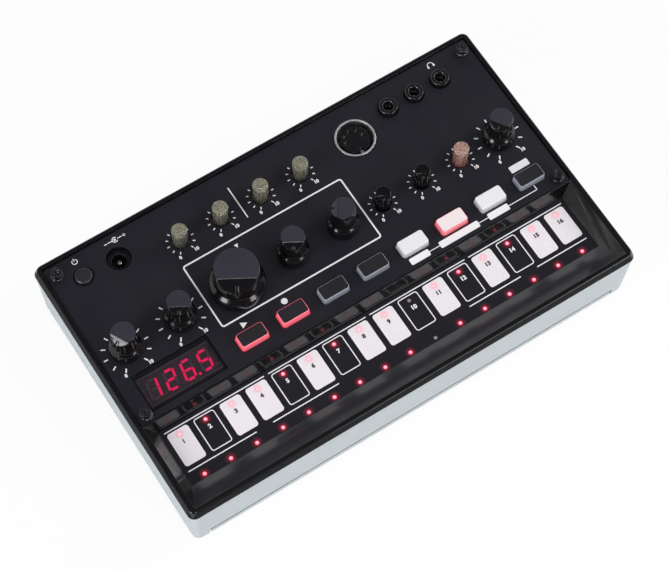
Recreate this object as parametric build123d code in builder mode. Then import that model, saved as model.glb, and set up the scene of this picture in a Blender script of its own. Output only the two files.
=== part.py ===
from build123d import *
import os
from math import radians, sin, cos, tan

# Case, from the table up: feet, pale lower case, black frame
body_width = 193.0
body_depth = 115.0
body_corner = 3.0
case_draft = 1.0
case_wall = 2.0
case_floor = 2.0
case_edge_round = 1.0
seam_inset = 0.2
foot_height = 2.0
foot_recess = 0.6
foot_width = 4.0
foot_length = 16.0
foot_corner = 1.9
foot_edge = 4.3
foot_end = 12.5
foot_clearance = 0.05

# Frame round the panel and the finger tray
frame_rise = 3.2
frame_draft = 1.0
rim_width = 2.8
rim_round = 0.7
lip_height = 2.6
lip_wall = 1.4
lip_clearance = 0.2
ledge_side = 5.6
ledge_end = 3.6
ledge_thickness = 1.5
crossbar = 0.9
tray_depth = 35.9
tray_drop = 7.2
tray_step = 0.5
tray_lip = 0.4
tray_side_slope = 4.6
tray_front_slope = 10.1
tray_back_slope = 2.0
tray_wall = 2.2
tray_shelf = 5.0

# Panel plate and its four flanged screws
panel_sink = 0.7
panel_thickness = 1.6
panel_clearance = 0.25
panel_corner = 1.0
panel_screw_side = 3.7
panel_screw_back = 5.0
panel_screw_front = 2.95
panel_screw_length = 6.5
panel_screw_hole = 1.5
flange_radius = 2.5
flange_thickness = 1.0
panel_head_radius = 2.0
panel_head_height = 2.4
panel_boss_radius = 2.6
panel_boss_height = 5.2

# Other screws
shank_radius = 1.3
screw_fit = 0.05
head_radius = 2.7
head_height = 2.0
head_sink = 0.8
head_clearance = 0.3
recess_length = 2.4
recess_width = 0.7
recess_depth = 1.0
case_screw_side = 6.5
case_screw_length = 16.0
pilot_spare = 1.0
case_boss_radius = 3.9
case_boss_height = 14.0
pillar_radius = 2.6
small_shank_radius = 0.9
small_head_radius = 1.9
small_head_height = 1.0
shelf_screw_depth = 0.9
spacer_screw_depth = 4.0

# Battery bay and the cover that slides out to the front
corner_post = 8.1
cover_thickness = 2.0
cover_gap = 0.2
cover_lip = 4.0
cover_slot = 0.8
cover_lip_wall = 2.0
cover_lap = 2.6
tongue_width = 2.2
tongue_height = 0.9
tongue_gap = 0.1
grip_length = 24.0
grip_width = 0.9
grip_depth = 0.5
grip_pitch = 2.0
grip_count = 5
grip_setback = 6.0
bay_margin = 7.8
bay_front_gap = 0.8
bay_depth = 31.2
bay_height = 15.2
bay_wall = 1.2
bay_clear = 1.9
contact_thickness = 0.5
contact_size = 11.0
contact_bulge = 2.4
contact_stud_radius = 2.6
contact_rise = 7.6
tab_reach = 1.7
tab_fit = 0.03
tab_width = 3.0
lead_radius = 0.6
lead_bend = 3.0
lead_gap = 0.3
lead_run = 4.0
lead_step = 3.3

# Boards
board_drop = 7.9
board_thickness = 1.6
board_inset = 1.0
film_thickness = 0.4
film_lap = 1.6
spacer_radius = 2.4
ribbon_gap = 1.2
ribbon_thickness = 0.4
ribbon_land = 4.0

# Dials: potentiometers, bare shafts and pushed-on knobs
pot_width = 9.6
pot_length = 11.2
pot_base = 1.0
pot_neck_radius = 4.4
pot_neck_height = 1.0
pot_gap = 0.5
shaft_radius = 3.0
shaft_fit = 0.06
shaft_seat = 0.3
shaft_hole_radius = 3.5
trim_rise = 9.2
knob_gap = 0.6
knob_height = 14.6
knob_radius = 4.65
knob_skirt_radius = 6.15
pitch_knob_radius = 8.6
pitch_skirt_radius = 10.5
skirt_edge = 0.5
skirt_band = 3.0
shoulder_height = 7.6
stem_flare = 0.15
top_edge = 0.25
bore_depth = 9.0
bore_fit = 0.05
shaft_flat = 1.6
notch_width = 0.9
notch_depth = 0.7
trim_notch_width = 0.7
trim_notch_depth = 0.4
facet_slope = 33.0
facet_chord_share = 0.46
notch_start_share = 0.72

# Push buttons
button_width = 11.6
button_depth = 6.5
button_corner = 1.3
button_rise = 2.6
button_taper = 7.0
button_round = 0.4
button_clearance = 0.25
button_flange = 0.65
button_flange_thickness = 0.9
button_rest_gap = 0.1
button_travel = 0.8
leg_radius = 1.4
leg_clearance = 0.3
switch_size = 6.0
switch_height = 3.6
switch_floor = 0.6
leg_spare = 0.6
power_radius = 3.4
power_rise = 1.0
power_bevel = 0.5
power_clearance = 0.45
power_travel = 1.5
power_flange = 0.9
power_switch_size = 8.0
power_switch_height = 5.0

# Display
display_width = 31.9
display_depth = 16.1
window_thickness = 0.9
window_clearance = 0.15
module_inset_x = 0.9
module_inset_y = 1.9
module_border = 0.8
module_recess = 0.5
digit_height = 8.2
digit_width_share = 0.645
segment_width = 0.85
segment_height = 0.3
segment_gap = 0.2
point_radius = 0.5
digit_slant = 9.0
digit_count = 4

# Sockets
jack_width = 9.0
jack_length = 11.0
jack_gap = 0.6
sleeve_radius = 3.75
sleeve_rise = 2.2
sleeve_hole_radius = 4.0
sleeve_edge = 0.4
jack_bore_radius = 1.8
jack_bore_length = 4.2
jack_mouth = 0.5
jack_chamber_radius = 2.4
jack_floor = 1.0
leaf_width = 2.2
leaf_thickness = 0.5
leaf_height = 5.2
leaf_offset = 0.6
dc_hole_radius = 4.95
dc_size = 11.0
dc_sink = 2.8
dc_bore_radius = 2.95
dc_bore_depth = 6.0
dc_pin_radius = 1.0
dc_pin_sink = 0.8
din_hole_radius = 8.2
din_shell_radius = 7.95
din_shell_wall = 0.75
din_shell_rise = 0.5
din_insert_fit = 0.05
din_base = 1.7
din_core_radius = 5.75
din_core_sink = 0.8
din_pin_circle = 3.75
din_pin_radius = 0.85
din_pin_depth = 6.0
din_contact_wall = 0.3
din_contact_fit = 0.05
din_contact_sink = 1.2
din_key_width = 1.8
din_key_depth = 1.5
din_lug_gap = 0.2
din_lug_sink = 1.4
din_pin_count = 5

# Touch keys and lights
key_count = 16
key_margin = 0.6
key_light_back = 4.4
step_light_front = 1.7
light_radius = 0.7
light_hole_radius = 0.85
light_proud = 0.2
light_round = 0.3
chip_light_size = 1.6
chip_light_height = 0.6

# One overrun serves every cut that leaves a face
overrun = 1.0

# Rows on the panel, from its front or back edge, and the clear margin at its sides
panel_side_margin = 10.5
upper_row_back = 16.7
socket_row_back = 10.7
power_row_back = 10.1
din_row_back = 14.9
button_row_front = 8.6
column_start = 13.6
column_end = 13.0
display_side = 6.25
display_front = 2.8

# Places along the rows, as shares of the panel's width between its margins
dial_row_share = 0.27
upper_shares = [-0.2646 + 0.1055 * step for step in range(4)]
jack_shares = [0.314 + 0.0714 * step for step in range(3)]
power_share = -0.4907
dc_share = -0.4027
din_share = 0.2071
knob_names = ("drive", "tone", "pitch", "bend", "time")
knob_shares = (-0.5, -0.3611, -0.214, -0.0693, 0.0633)
back_spacer_shares = (-0.4512, -0.1139, 0.3267)
front_spacer_shares = (0.1163, 0.4322)
case_screw_shares = (-0.07, 0.24)
shelf_screw_shares = (-0.36, -0.12, 0.12, 0.36)
column_count = 8
button_names = (
    "play_button",
    "record_button",
    "mode_button",
    "effect_button",
    "accent_button",
    "active_button",
    "memory_button",
    "function_button",
)
# Chips under the control board: place and plan size as shares of the board's sides,
# height as a share of its thickness
chip_shares = [
    (-0.30, 0.05, 0.08, 0.20, 0.9),
    (-0.12, 0.25, 0.06, 0.09, 1.0),
    (0.02, 0.25, 0.06, 0.09, 1.0),
    (0.16, 0.25, 0.06, 0.09, 1.0),
    (0.22, 0.05, 0.04, 0.08, 1.0),
    (0.06, -0.12, 0.05, 0.08, 1.0),
    (-0.10, -0.12, 0.05, 0.08, 1.0),
    (-0.40, 0.32, 0.06, 0.14, 3.4),
    (0.40, 0.30, 0.05, 0.12, 3.0),
]

# Where each pointer stands, in degrees clockwise from the back of the panel
rest_clock = {
    "drive": -118,
    "tone": -150,
    "pitch": -150,
    "bend": -150,
    "time": -55,
    "volume": -125,
}
trim_clock = -150

# Heights that follow from the stack of parts
cover_top_z = foot_height + cover_thickness
bay_roof_z = cover_top_z + bay_height
bay_top_z = bay_roof_z + bay_wall
touch_z = bay_top_z + bay_clear
film_z = touch_z + board_thickness
film_top_z = film_z + film_thickness
rim_z = film_top_z + tray_drop
seam_z = rim_z - frame_rise
case_z = foot_height
panel_top_z = rim_z - panel_sink
panel_z = panel_top_z - panel_thickness
ledge_z = panel_z - ledge_thickness
board_z = panel_z - board_drop
board_under_z = board_z - board_thickness
shaft_z = board_z + pot_base + shaft_seat
knob_z = panel_top_z + knob_gap
boss_top_z = case_z + case_boss_height

# Plan sizes that follow from the outline
case_width = body_width - 2 * seam_inset
case_depth = body_depth - 2 * seam_inset
base_width = case_width - 2 * case_draft
base_depth = case_depth - 2 * case_draft
lip_width = case_width - 2 * (case_wall + lip_clearance)
lip_depth = case_depth - 2 * (case_wall + lip_clearance)
pocket_half = body_width / 2 - rim_width
pocket_back = body_depth / 2 - rim_width
tray_front = -pocket_back
tray_back = tray_front + tray_depth
pocket_front = tray_back + crossbar
pocket_depth = pocket_back - pocket_front
pocket_y = (pocket_back + pocket_front) / 2
tray_half = pocket_half - tray_step
floor_half = tray_half - tray_side_slope
floor_front = tray_front + tray_front_slope
floor_back = tray_back - tray_back_slope
floor_depth = floor_back - floor_front
floor_y = (floor_back + floor_front) / 2
panel_width = 2 * (pocket_half - panel_clearance)
panel_depth = pocket_depth - 2 * panel_clearance
panel_y = pocket_y
board_width = 2 * (pocket_half - ledge_side - board_inset)
board_depth = pocket_depth - 2 * (ledge_end + board_inset)
film_half = floor_half + film_lap
film_back = floor_back + film_lap
film_front = floor_front - tray_shelf + film_thickness
film_depth = film_back - film_front
film_y = (film_back + film_front) / 2
cover_half = body_width / 2 - corner_post
lip_back = -base_depth / 2 + cover_lip_wall
bay_length = 2 * (cover_half - bay_margin)
bay_front = lip_back + bay_front_gap + bay_wall
bay_back = bay_front + bay_depth
bay_y = (bay_front + bay_back) / 2
cover_back = bay_back + cover_lap
module_width = display_width - 2 * module_inset_x
module_depth = display_depth - 2 * module_inset_y

bottom = (Align.CENTER, Align.CENTER, Align.MIN)
hanging = (Align.CENTER, Align.CENTER, Align.MAX)
from_front = (Align.CENTER, Align.MIN, Align.MIN)


def at_height(places, z):
    """The same places, lifted to one height."""
    return [(x, y, z) for x, y in places]


# Rows and columns of the panel
row_width = panel_width - 2 * panel_side_margin
upper_row_y = pocket_back - upper_row_back
socket_row_y = pocket_back - socket_row_back
button_row_y = pocket_front + button_row_front
display_x = -panel_width / 2 + display_side + display_width / 2
display_y = pocket_front + display_front + display_depth / 2
display_right = display_x + display_width / 2
display_back = display_y + display_depth / 2
dial_row_y = display_back + dial_row_share * (upper_row_y - display_back)
column_first = display_right + column_start
column_last = panel_width / 2 - column_end
column_step = (column_last - column_first) / (column_count - 1)
columns = [column_first + column_step * step for step in range(column_count)]
upper_columns = [share * row_width for share in upper_shares]

display_place = (display_x, display_y)
trim_places = {
    "colour_knob": (upper_columns[0], upper_row_y),
    "level_knob": (upper_columns[1], upper_row_y),
    "attack_knob": (upper_columns[2], upper_row_y),
    "decay_knob": (upper_columns[3], upper_row_y),
    "accent_knob": (columns[4], dial_row_y),
    "swing_knob": (columns[5], dial_row_y),
    "tempo_knob": (columns[6], dial_row_y),
}
knob_places = {name: (share * row_width, dial_row_y) for name, share in zip(knob_names, knob_shares)}
knob_places["volume"] = (columns[7], dial_row_y)
dial_places = list(trim_places.values()) + list(knob_places.values())
button_places = [(x, button_row_y) for x in columns]
jack_places = [(share * row_width, socket_row_y) for share in jack_shares]
power_place = (power_share * row_width, pocket_back - power_row_back)
dc_place = (dc_share * row_width, socket_row_y)
din_place = (din_share * row_width, pocket_back - din_row_back)
back_gap_y = (dial_row_y + upper_row_y) / 2
button_back = button_row_y + button_depth / 2 + button_flange
front_gap_y = (button_back + dial_row_y - pot_length / 2) / 2
spacer_places = [(share * row_width, back_gap_y) for share in back_spacer_shares]
spacer_places += [(share * row_width, front_gap_y) for share in front_spacer_shares]
spacer_places.append(((display_right + columns[0] - button_width / 2) / 2, button_row_y))
panel_screw_x = panel_width / 2 - panel_screw_side
panel_screw_rows = (pocket_back - panel_screw_back, pocket_front + panel_screw_front)
panel_screw_places = [(side * panel_screw_x, y) for side in (-1, 1) for y in panel_screw_rows]
case_screw_x = body_width / 2 - case_screw_side
case_screw_rows = [share * body_depth for share in case_screw_shares]
case_screw_places = [(side * case_screw_x, y) for side in (-1, 1) for y in case_screw_rows]
shelf_screw_y = floor_front - tray_shelf / 2
shelf_screw_places = [(share * body_width, shelf_screw_y) for share in shelf_screw_shares]
foot_x = base_width / 2 - foot_edge
foot_y = base_depth / 2 - foot_end
foot_places = [(side * foot_x, end * foot_y) for side in (-1, 1) for end in (-1, 1)]
key_pitch = 2 * (floor_half - key_margin) / key_count
key_columns = [key_pitch * (step - (key_count - 1) / 2) for step in range(key_count)]
key_light_places = [(x, floor_back - key_light_back) for x in key_columns]
step_light_places = [(x, floor_front + step_light_front) for x in key_columns]

os.makedirs("parts", exist_ok=True)

# Outer block of the lower case, shared by the case and the front edge of its cover
with BuildPart() as case_block:
    with BuildSketch(Plane.XY.offset(case_z)):
        RectangleRounded(base_width, base_depth, body_corner)
    with BuildSketch(Plane.XY.offset(seam_z)):
        RectangleRounded(case_width, case_depth, body_corner)
    loft()
    fillet(case_block.faces().sort_by(Axis.Z)[0].edges(), case_edge_round)

# Lower case: drafted shell with the battery bay, screw bosses and foot recesses
inner_corner = max(body_corner - case_wall, case_edge_round)
channel_depth = cover_back + cover_gap - lip_back
channel_y = (cover_back + cover_gap + lip_back) / 2
ledge_top = cover_thickness - tongue_height - tongue_gap
with BuildPart() as lower_case:
    add(case_block.part)
    with BuildSketch(Plane.XY.offset(case_z + case_floor)):
        RectangleRounded(base_width - 2 * case_wall, base_depth - 2 * case_wall, inner_corner)
    with BuildSketch(Plane.XY.offset(seam_z)):
        RectangleRounded(case_width - 2 * case_wall, case_depth - 2 * case_wall, inner_corner)
    loft(mode=Mode.SUBTRACT)
    with Locations((0, lip_back - case_wall / 2, case_z)):
        Box(2 * (cover_half + cover_gap + bay_wall), channel_depth + case_wall / 2 + bay_wall,
            cover_thickness + cover_gap + bay_wall, align=from_front)
        Box(bay_length + 2 * bay_wall, bay_back + bay_wall - lip_back + case_wall / 2, bay_top_z - case_z,
            align=from_front)
    with Locations((0, bay_y, case_z)):
        Box(bay_length, bay_depth, bay_roof_z - case_z, align=bottom, mode=Mode.SUBTRACT)
    with Locations(*at_height(case_screw_places, case_z)):
        Cylinder(case_boss_radius, case_boss_height, align=bottom)
        Cylinder(shank_radius + head_clearance, case_boss_height, align=bottom, mode=Mode.SUBTRACT)
        Cylinder(head_radius + head_clearance, head_sink + head_height, align=bottom, mode=Mode.SUBTRACT)
    with Locations((0, channel_y, case_z)):
        Box(2 * (cover_half - tongue_width + cover_gap), channel_depth, ledge_top, align=bottom,
            mode=Mode.SUBTRACT)
    with Locations((0, channel_y, case_z + ledge_top)):
        Box(2 * (cover_half + cover_gap), channel_depth, cover_thickness - ledge_top + cover_gap,
            align=bottom, mode=Mode.SUBTRACT)
    with Locations((0, lip_back + cover_gap, case_z)):
        Box(2 * (cover_half + cover_slot), cover_lip_wall + overrun, cover_lip + cover_slot,
            align=(Align.CENTER, Align.MAX, Align.MIN), mode=Mode.SUBTRACT)
    for side in (-1, 1):
        for row in (-1, 1):
            with Locations((side * bay_length / 2, bay_y + row * bay_depth / 4, case_z + contact_rise)):
                Box(2 * (bay_wall + overrun), tab_width + 2 * tab_fit, contact_thickness + 2 * tab_fit,
                    mode=Mode.SUBTRACT)
    with BuildSketch(Plane.XY.offset(case_z)):
        with Locations(*foot_places):
            RectangleRounded(foot_width + 2 * foot_clearance, foot_length + 2 * foot_clearance, foot_corner)
    extrude(amount=foot_recess, mode=Mode.SUBTRACT)
lower_case.part.label = "lower_case"
export_step(lower_case.part, "parts/lower_case.step")

# Battery cover: front lip cut from the case block, plate and two side tongues
plate_depth = cover_back - lip_back
plate_y = (cover_back + lip_back) / 2
with BuildPart() as battery_cover:
    add(case_block.part)
    with Locations((0, lip_back, case_z)):
        Box(2 * cover_half, cover_lip_wall + overrun, cover_lip, align=(Align.CENTER, Align.MAX, Align.MIN),
            mode=Mode.INTERSECT)
    with Locations((0, plate_y, case_z)):
        Box(2 * (cover_half - tongue_width), plate_depth, cover_thickness, align=bottom)
    with Locations((0, plate_y + cover_gap, cover_top_z)):
        Box(2 * cover_half, plate_depth - 2 * cover_gap, tongue_height, align=hanging)
    with Locations((0, lip_back + grip_setback, case_z)):
        with GridLocations(grip_length, grip_pitch, 1, grip_count):
            Box(grip_length, grip_width, 2 * grip_depth, mode=Mode.SUBTRACT)
battery_cover.part.label = "battery_cover"
export_step(battery_cover.part, "parts/battery_cover.step")

# Rubber feet, glued into the recesses near the corners
with BuildPart() as rubber_feet:
    with BuildSketch():
        with Locations(*foot_places):
            RectangleRounded(foot_width, foot_length, foot_corner)
    extrude(amount=foot_height + foot_recess)
    fillet(rubber_feet.edges().group_by(Axis.Z)[0], foot_recess)
rubber_feet.part.label = "rubber_feet"
export_step(rubber_feet.part, "parts/rubber_feet.step")

# Upper frame: rim, panel ledge, finger tray with sloping sides, lip and screw pillars
top_width = body_width - 2 * frame_draft
top_depth = body_depth - 2 * frame_draft
top_corner = body_corner - frame_draft / 2
case_screw_grip = case_z + head_sink + head_height + case_screw_length - boss_top_z
with BuildPart() as upper_frame:
    with BuildSketch(Plane.XY.offset(seam_z)):
        RectangleRounded(body_width, body_depth, body_corner)
    with BuildSketch(Plane.XY.offset(rim_z)):
        RectangleRounded(top_width, top_depth, top_corner)
    loft()
    fillet(upper_frame.faces().sort_by(Axis.Z)[-1].edges(), rim_round)
    with BuildSketch(Plane.XY.offset(seam_z)):
        RectangleRounded(lip_width, lip_depth, inner_corner)
    extrude(amount=-lip_height)
    with BuildSketch(Plane.XY.offset(seam_z - lip_height)):
        RectangleRounded(lip_width - 2 * lip_wall, lip_depth - 2 * lip_wall, inner_corner)
    extrude(amount=ledge_z - seam_z + lip_height, mode=Mode.SUBTRACT)
    with BuildSketch(Plane.XY.offset(film_top_z)):
        with Locations((0, floor_y + (tray_wall - tray_shelf) / 2)):
            Rectangle(2 * (floor_half + tray_wall), floor_depth + tray_wall + tray_shelf)
    with BuildSketch(Plane.XY.offset(panel_z)):
        with Locations((0, (tray_front + pocket_front) / 2)):
            Rectangle(2 * tray_half, tray_depth + crossbar)
    loft()
    with BuildSketch(Plane.XY.offset(film_top_z + tray_lip)):
        with Locations((0, floor_y)):
            Rectangle(2 * floor_half, floor_depth)
    with BuildSketch(Plane.XY.offset(rim_z)):
        with Locations((0, (tray_front + tray_back) / 2)):
            Rectangle(2 * tray_half, tray_depth)
    loft(mode=Mode.SUBTRACT)
    with Locations((0, floor_y, film_top_z + tray_lip)):
        Box(2 * floor_half, floor_depth, tray_lip + overrun, align=hanging, mode=Mode.SUBTRACT)
    with Locations(*at_height(panel_screw_places, ledge_z)):
        Cylinder(panel_boss_radius, panel_boss_height, align=hanging)
    with Locations(*at_height(case_screw_places, ledge_z)):
        Cylinder(pillar_radius, ledge_z - boss_top_z, align=hanging)
    with Locations((0, pocket_y, panel_z)):
        Box(2 * pocket_half, pocket_depth, panel_sink + panel_thickness + overrun, align=bottom,
            mode=Mode.SUBTRACT)
        Box(2 * (pocket_half - ledge_side), pocket_depth - 2 * ledge_end, ledge_thickness + overrun,
            align=hanging, mode=Mode.SUBTRACT)
    with Locations(*at_height(panel_screw_places, panel_z)):
        Cylinder(shank_radius + screw_fit, panel_screw_length, align=hanging, mode=Mode.SUBTRACT)
    with Locations(*at_height(case_screw_places, boss_top_z)):
        Cylinder(shank_radius + screw_fit, case_screw_grip + pilot_spare, align=bottom, mode=Mode.SUBTRACT)
    with Locations(*at_height(shelf_screw_places, film_top_z)):
        Cylinder(small_shank_radius + screw_fit, shelf_screw_depth, align=bottom, mode=Mode.SUBTRACT)
upper_frame.part.label = "upper_frame"
export_step(upper_frame.part, "parts/upper_frame.step")

# Top panel: one plate with every opening cut in its sketch
with BuildPart() as top_panel:
    with BuildSketch(Plane.XY.offset(panel_z)):
        with Locations((0, panel_y)):
            RectangleRounded(panel_width, panel_depth, panel_corner)
        with Locations(*dial_places):
            Circle(shaft_hole_radius, mode=Mode.SUBTRACT)
        with Locations(*button_places):
            RectangleRounded(button_width + 2 * button_clearance, button_depth + 2 * button_clearance,
                             button_corner, mode=Mode.SUBTRACT)
        with Locations(*jack_places):
            Circle(sleeve_hole_radius, mode=Mode.SUBTRACT)
        with Locations(power_place):
            Circle(power_radius + power_clearance, mode=Mode.SUBTRACT)
        with Locations(dc_place):
            Circle(dc_hole_radius, mode=Mode.SUBTRACT)
        with Locations(din_place):
            Circle(din_hole_radius, mode=Mode.SUBTRACT)
        with Locations(display_place):
            Rectangle(display_width, display_depth, mode=Mode.SUBTRACT)
        with Locations(*panel_screw_places):
            Circle(panel_screw_hole, mode=Mode.SUBTRACT)
    extrude(amount=panel_thickness)
top_panel.part.label = "top_panel"
export_step(top_panel.part, "parts/top_panel.step")

# Panel screws: flange, cross-recessed head and shank
head_top_z = panel_top_z + flange_thickness + panel_head_height
with BuildPart() as panel_screws:
    with Locations(*at_height(panel_screw_places, panel_top_z)):
        Cylinder(flange_radius, flange_thickness, align=bottom)
        Cylinder(panel_head_radius, flange_thickness + panel_head_height, align=bottom)
        Cylinder(shank_radius, panel_screw_length + panel_thickness, align=hanging)
    with Locations(*at_height(panel_screw_places, head_top_z)):
        Box(recess_length, recess_width, 2 * recess_depth, mode=Mode.SUBTRACT)
        Box(recess_width, recess_length, 2 * recess_depth, mode=Mode.SUBTRACT)
panel_screws.part.label = "panel_screws"
export_step(panel_screws.part, "parts/panel_screws.step")

# Case screws, driven up from below through the lower case into the frame's pillars
case_head_z = case_z + head_sink
with BuildPart() as case_screws:
    with Locations(*at_height(case_screw_places, case_head_z)):
        Cylinder(head_radius, head_height, align=bottom)
        Cylinder(shank_radius, head_height + case_screw_length, align=bottom)
        Box(recess_length, recess_width, 2 * recess_depth, mode=Mode.SUBTRACT)
        Box(recess_width, recess_length, 2 * recess_depth, mode=Mode.SUBTRACT)
case_screws.part.label = "case_screws"
export_step(case_screws.part, "parts/case_screws.step")

# Control board under the panel, hung on spacers
with BuildPart() as control_board:
    with BuildSketch(Plane.XY.offset(board_under_z)):
        with Locations((0, panel_y)):
            Rectangle(board_width, board_depth)
        with Locations(*spacer_places):
            Circle(small_shank_radius + screw_fit, mode=Mode.SUBTRACT)
    extrude(amount=board_thickness)
control_board.part.label = "control_board"
export_step(control_board.part, "parts/control_board.step")

with BuildPart() as board_spacers:
    with Locations(*at_height(spacer_places, board_z)):
        Cylinder(spacer_radius, board_drop, align=bottom)
        Cylinder(small_shank_radius + screw_fit, spacer_screw_depth, align=bottom, mode=Mode.SUBTRACT)
board_spacers.part.label = "board_spacers"
export_step(board_spacers.part, "parts/board_spacers.step")

# Touch board and the printed film over it, both pressed up under the tray's edge
with BuildPart() as touch_film:
    with BuildSketch(Plane.XY.offset(film_z)):
        with Locations((0, film_y)):
            Rectangle(2 * film_half, film_depth)
        with Locations(*(key_light_places + step_light_places)):
            Circle(light_hole_radius, mode=Mode.SUBTRACT)
        with Locations(*shelf_screw_places):
            Circle(small_shank_radius + screw_fit, mode=Mode.SUBTRACT)
    extrude(amount=film_thickness)
touch_film.part.label = "touch_film"
export_step(touch_film.part, "parts/touch_film.step")

with BuildPart() as touch_board:
    with BuildSketch(Plane.XY.offset(touch_z)):
        with Locations((0, film_y)):
            Rectangle(2 * film_half, film_depth)
        with Locations(*shelf_screw_places):
            Circle(small_shank_radius + screw_fit, mode=Mode.SUBTRACT)
    extrude(amount=board_thickness)
touch_board.part.label = "touch_board"
export_step(touch_board.part, "parts/touch_board.step")

# Board screws: six into the spacers, four into the tray's front shelf
with BuildPart() as board_screws:
    with Locations(*at_height(spacer_places, board_under_z)):
        Cylinder(small_head_radius, small_head_height, align=hanging)
        Cylinder(small_shank_radius, board_thickness + spacer_screw_depth, align=bottom)
    with Locations(*at_height(shelf_screw_places, touch_z)):
        Cylinder(small_head_radius, small_head_height, align=hanging)
        Cylinder(small_shank_radius, board_thickness + film_thickness + shelf_screw_depth, align=bottom)
board_screws.part.label = "board_screws"
export_step(board_screws.part, "parts/board_screws.step")


def light_row(places):
    """One row of domed lights that stand on the touch board and look through the film."""
    with BuildPart() as lights:
        with Locations(*at_height(places, film_z)):
            Cylinder(light_radius, film_thickness + light_proud, align=bottom)
        fillet(lights.edges().group_by(Axis.Z)[-1], light_round)
    return lights.part


for label, places in (("key_leds", key_light_places), ("step_leds", step_light_places)):
    light_part = light_row(places)
    light_part.label = label
    export_step(light_part, f"parts/{label}.step")

# Chip lights on the control board, beside the tempo dial and under the lit buttons
tempo_x, tempo_y = trim_places["tempo_knob"]
lit_places = [(tempo_x, tempo_y + pot_length / 2 + chip_light_size)]
for lit_x, lit_y in (button_places[0], button_places[1], button_places[5]):
    lit_places.append((lit_x + switch_size / 2 + chip_light_size, lit_y))
with BuildPart() as indicator_leds:
    with Locations(*at_height(lit_places, board_z)):
        Box(chip_light_size, chip_light_size / 2, chip_light_height, align=bottom)
indicator_leds.part.label = "indicator_leds"
export_step(indicator_leds.part, "parts/indicator_leds.step")

# Chips and capacitors on the underside of the control board
with BuildPart() as board_chips:
    for x_share, y_share, width_share, depth_share, height_share in chip_shares:
        with Locations((x_share * board_width, panel_y + y_share * board_depth, board_under_z)):
            Box(width_share * board_width, depth_share * board_depth, height_share * board_thickness,
                align=hanging)
board_chips.part.label = "board_chips"
export_step(board_chips.part, "parts/board_chips.step")

# Flat cable from the control board's top, between two buttons, to the touch board's underside
board_front = panel_y - board_depth / 2
cable_start = board_front + ribbon_land
cable_end = film_back - ribbon_land
cable_x = (columns[2] + columns[3]) / 2
ribbon_width = column_step - switch_size - 2 * ribbon_gap
with BuildPart() as ribbon_cable:
    with BuildSketch(Plane.YZ.offset(cable_x - ribbon_width / 2)):
        with BuildLine():
            Polyline(
                (cable_start, board_z),
                (board_front, board_z),
                (film_back, touch_z - ribbon_thickness),
                (cable_end, touch_z - ribbon_thickness),
                (cable_end, touch_z),
                (film_back, touch_z),
                (board_front, board_z + ribbon_thickness),
                (cable_start, board_z + ribbon_thickness),
                close=True,
            )
        make_face()
    extrude(amount=ribbon_width)
ribbon_cable.part.label = "ribbon_cable"
export_step(ribbon_cable.part, "parts/ribbon_cable.step")

# Battery contacts: plate, tab through the bay's end wall, and a stud or a bowed leaf for each row of cells
contact_z = case_z + contact_rise
tab_length = bay_wall + tab_reach
with BuildPart() as battery_contacts:
    for side in (-1, 1):
        for row in (-1, 1):
            end_x = side * bay_length / 2
            row_y = bay_y + row * bay_depth / 4
            inward = -side
            with Locations((end_x + inward * contact_thickness / 2, row_y, contact_z)):
                Box(contact_thickness, contact_size, contact_size)
            with Locations((end_x + side * tab_length / 2, row_y, contact_z)):
                Box(tab_length, tab_width, contact_thickness)
            if side * row > 0:
                stud_at = (end_x + inward * contact_thickness, row_y, contact_z)
                with Locations(Location(stud_at, (0, inward * 90, 0))):
                    Cylinder(contact_stud_radius, contact_bulge / 2, align=bottom)
            else:
                leaf_plane = Plane.XZ.offset(-row_y - tab_width / 2)
                face_x = end_x + inward * contact_thickness
                with BuildSketch(leaf_plane):
                    with BuildLine():
                        outer_arc = ThreePointArc(
                            (face_x, contact_z - contact_size / 2),
                            (face_x + inward * contact_bulge, contact_z),
                            (face_x, contact_z + contact_size / 2),
                        )
                        inner_arc = ThreePointArc(
                            (face_x, contact_z + contact_size / 2 - contact_thickness),
                            (face_x + inward * (contact_bulge - contact_thickness), contact_z),
                            (face_x, contact_z - contact_size / 2 + contact_thickness),
                        )
                        Line(outer_arc @ 1, inner_arc @ 0)
                        Line(inner_arc @ 1, outer_arc @ 0)
                    make_face()
                extrude(amount=tab_width)
battery_contacts.part.label = "battery_contacts"
export_step(battery_contacts.part, "parts/battery_contacts.step")

# Two battery wires from the tabs at one end of the bay up to the control board, one passing over the other
lead_x = bay_length / 2 + bay_wall + lead_gap + lead_radius
with BuildPart() as battery_leads:
    for row, level, turn in ((1, 1, 2), (-1, 2, 1)):
        row_y = bay_y + row * bay_depth / 4
        turn_y = board_front + turn * lead_run
        run_z = contact_z + level * lead_step
        with BuildLine() as wire:
            FilletPolyline(
                (lead_x, row_y, contact_z + contact_thickness / 2),
                (lead_x, row_y, run_z),
                (lead_x, turn_y, run_z),
                (lead_x, turn_y, board_under_z),
                radius=lead_bend,
            )
        with BuildSketch(Plane(origin=wire.line @ 0, z_dir=wire.line % 0)):
            Circle(lead_radius)
        sweep(path=wire.line)
battery_leads.part.label = "battery_leads"
export_step(battery_leads.part, "parts/battery_leads.step")

# Potentiometer housings on the control board, one under each dial
pot_height = board_drop - pot_gap - pot_neck_height
with BuildPart() as pot_bodies:
    with Locations(*at_height(dial_places, board_z)):
        Box(pot_width, pot_length, pot_height, align=bottom)
        Cylinder(pot_neck_radius, pot_height + pot_neck_height, align=bottom)
    with Locations(*at_height(dial_places, board_z + pot_base)):
        Cylinder(shaft_radius + shaft_fit, board_drop, align=bottom, mode=Mode.SUBTRACT)
pot_bodies.part.label = "pot_bodies"
export_step(pot_bodies.part, "parts/pot_bodies.step")


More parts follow.
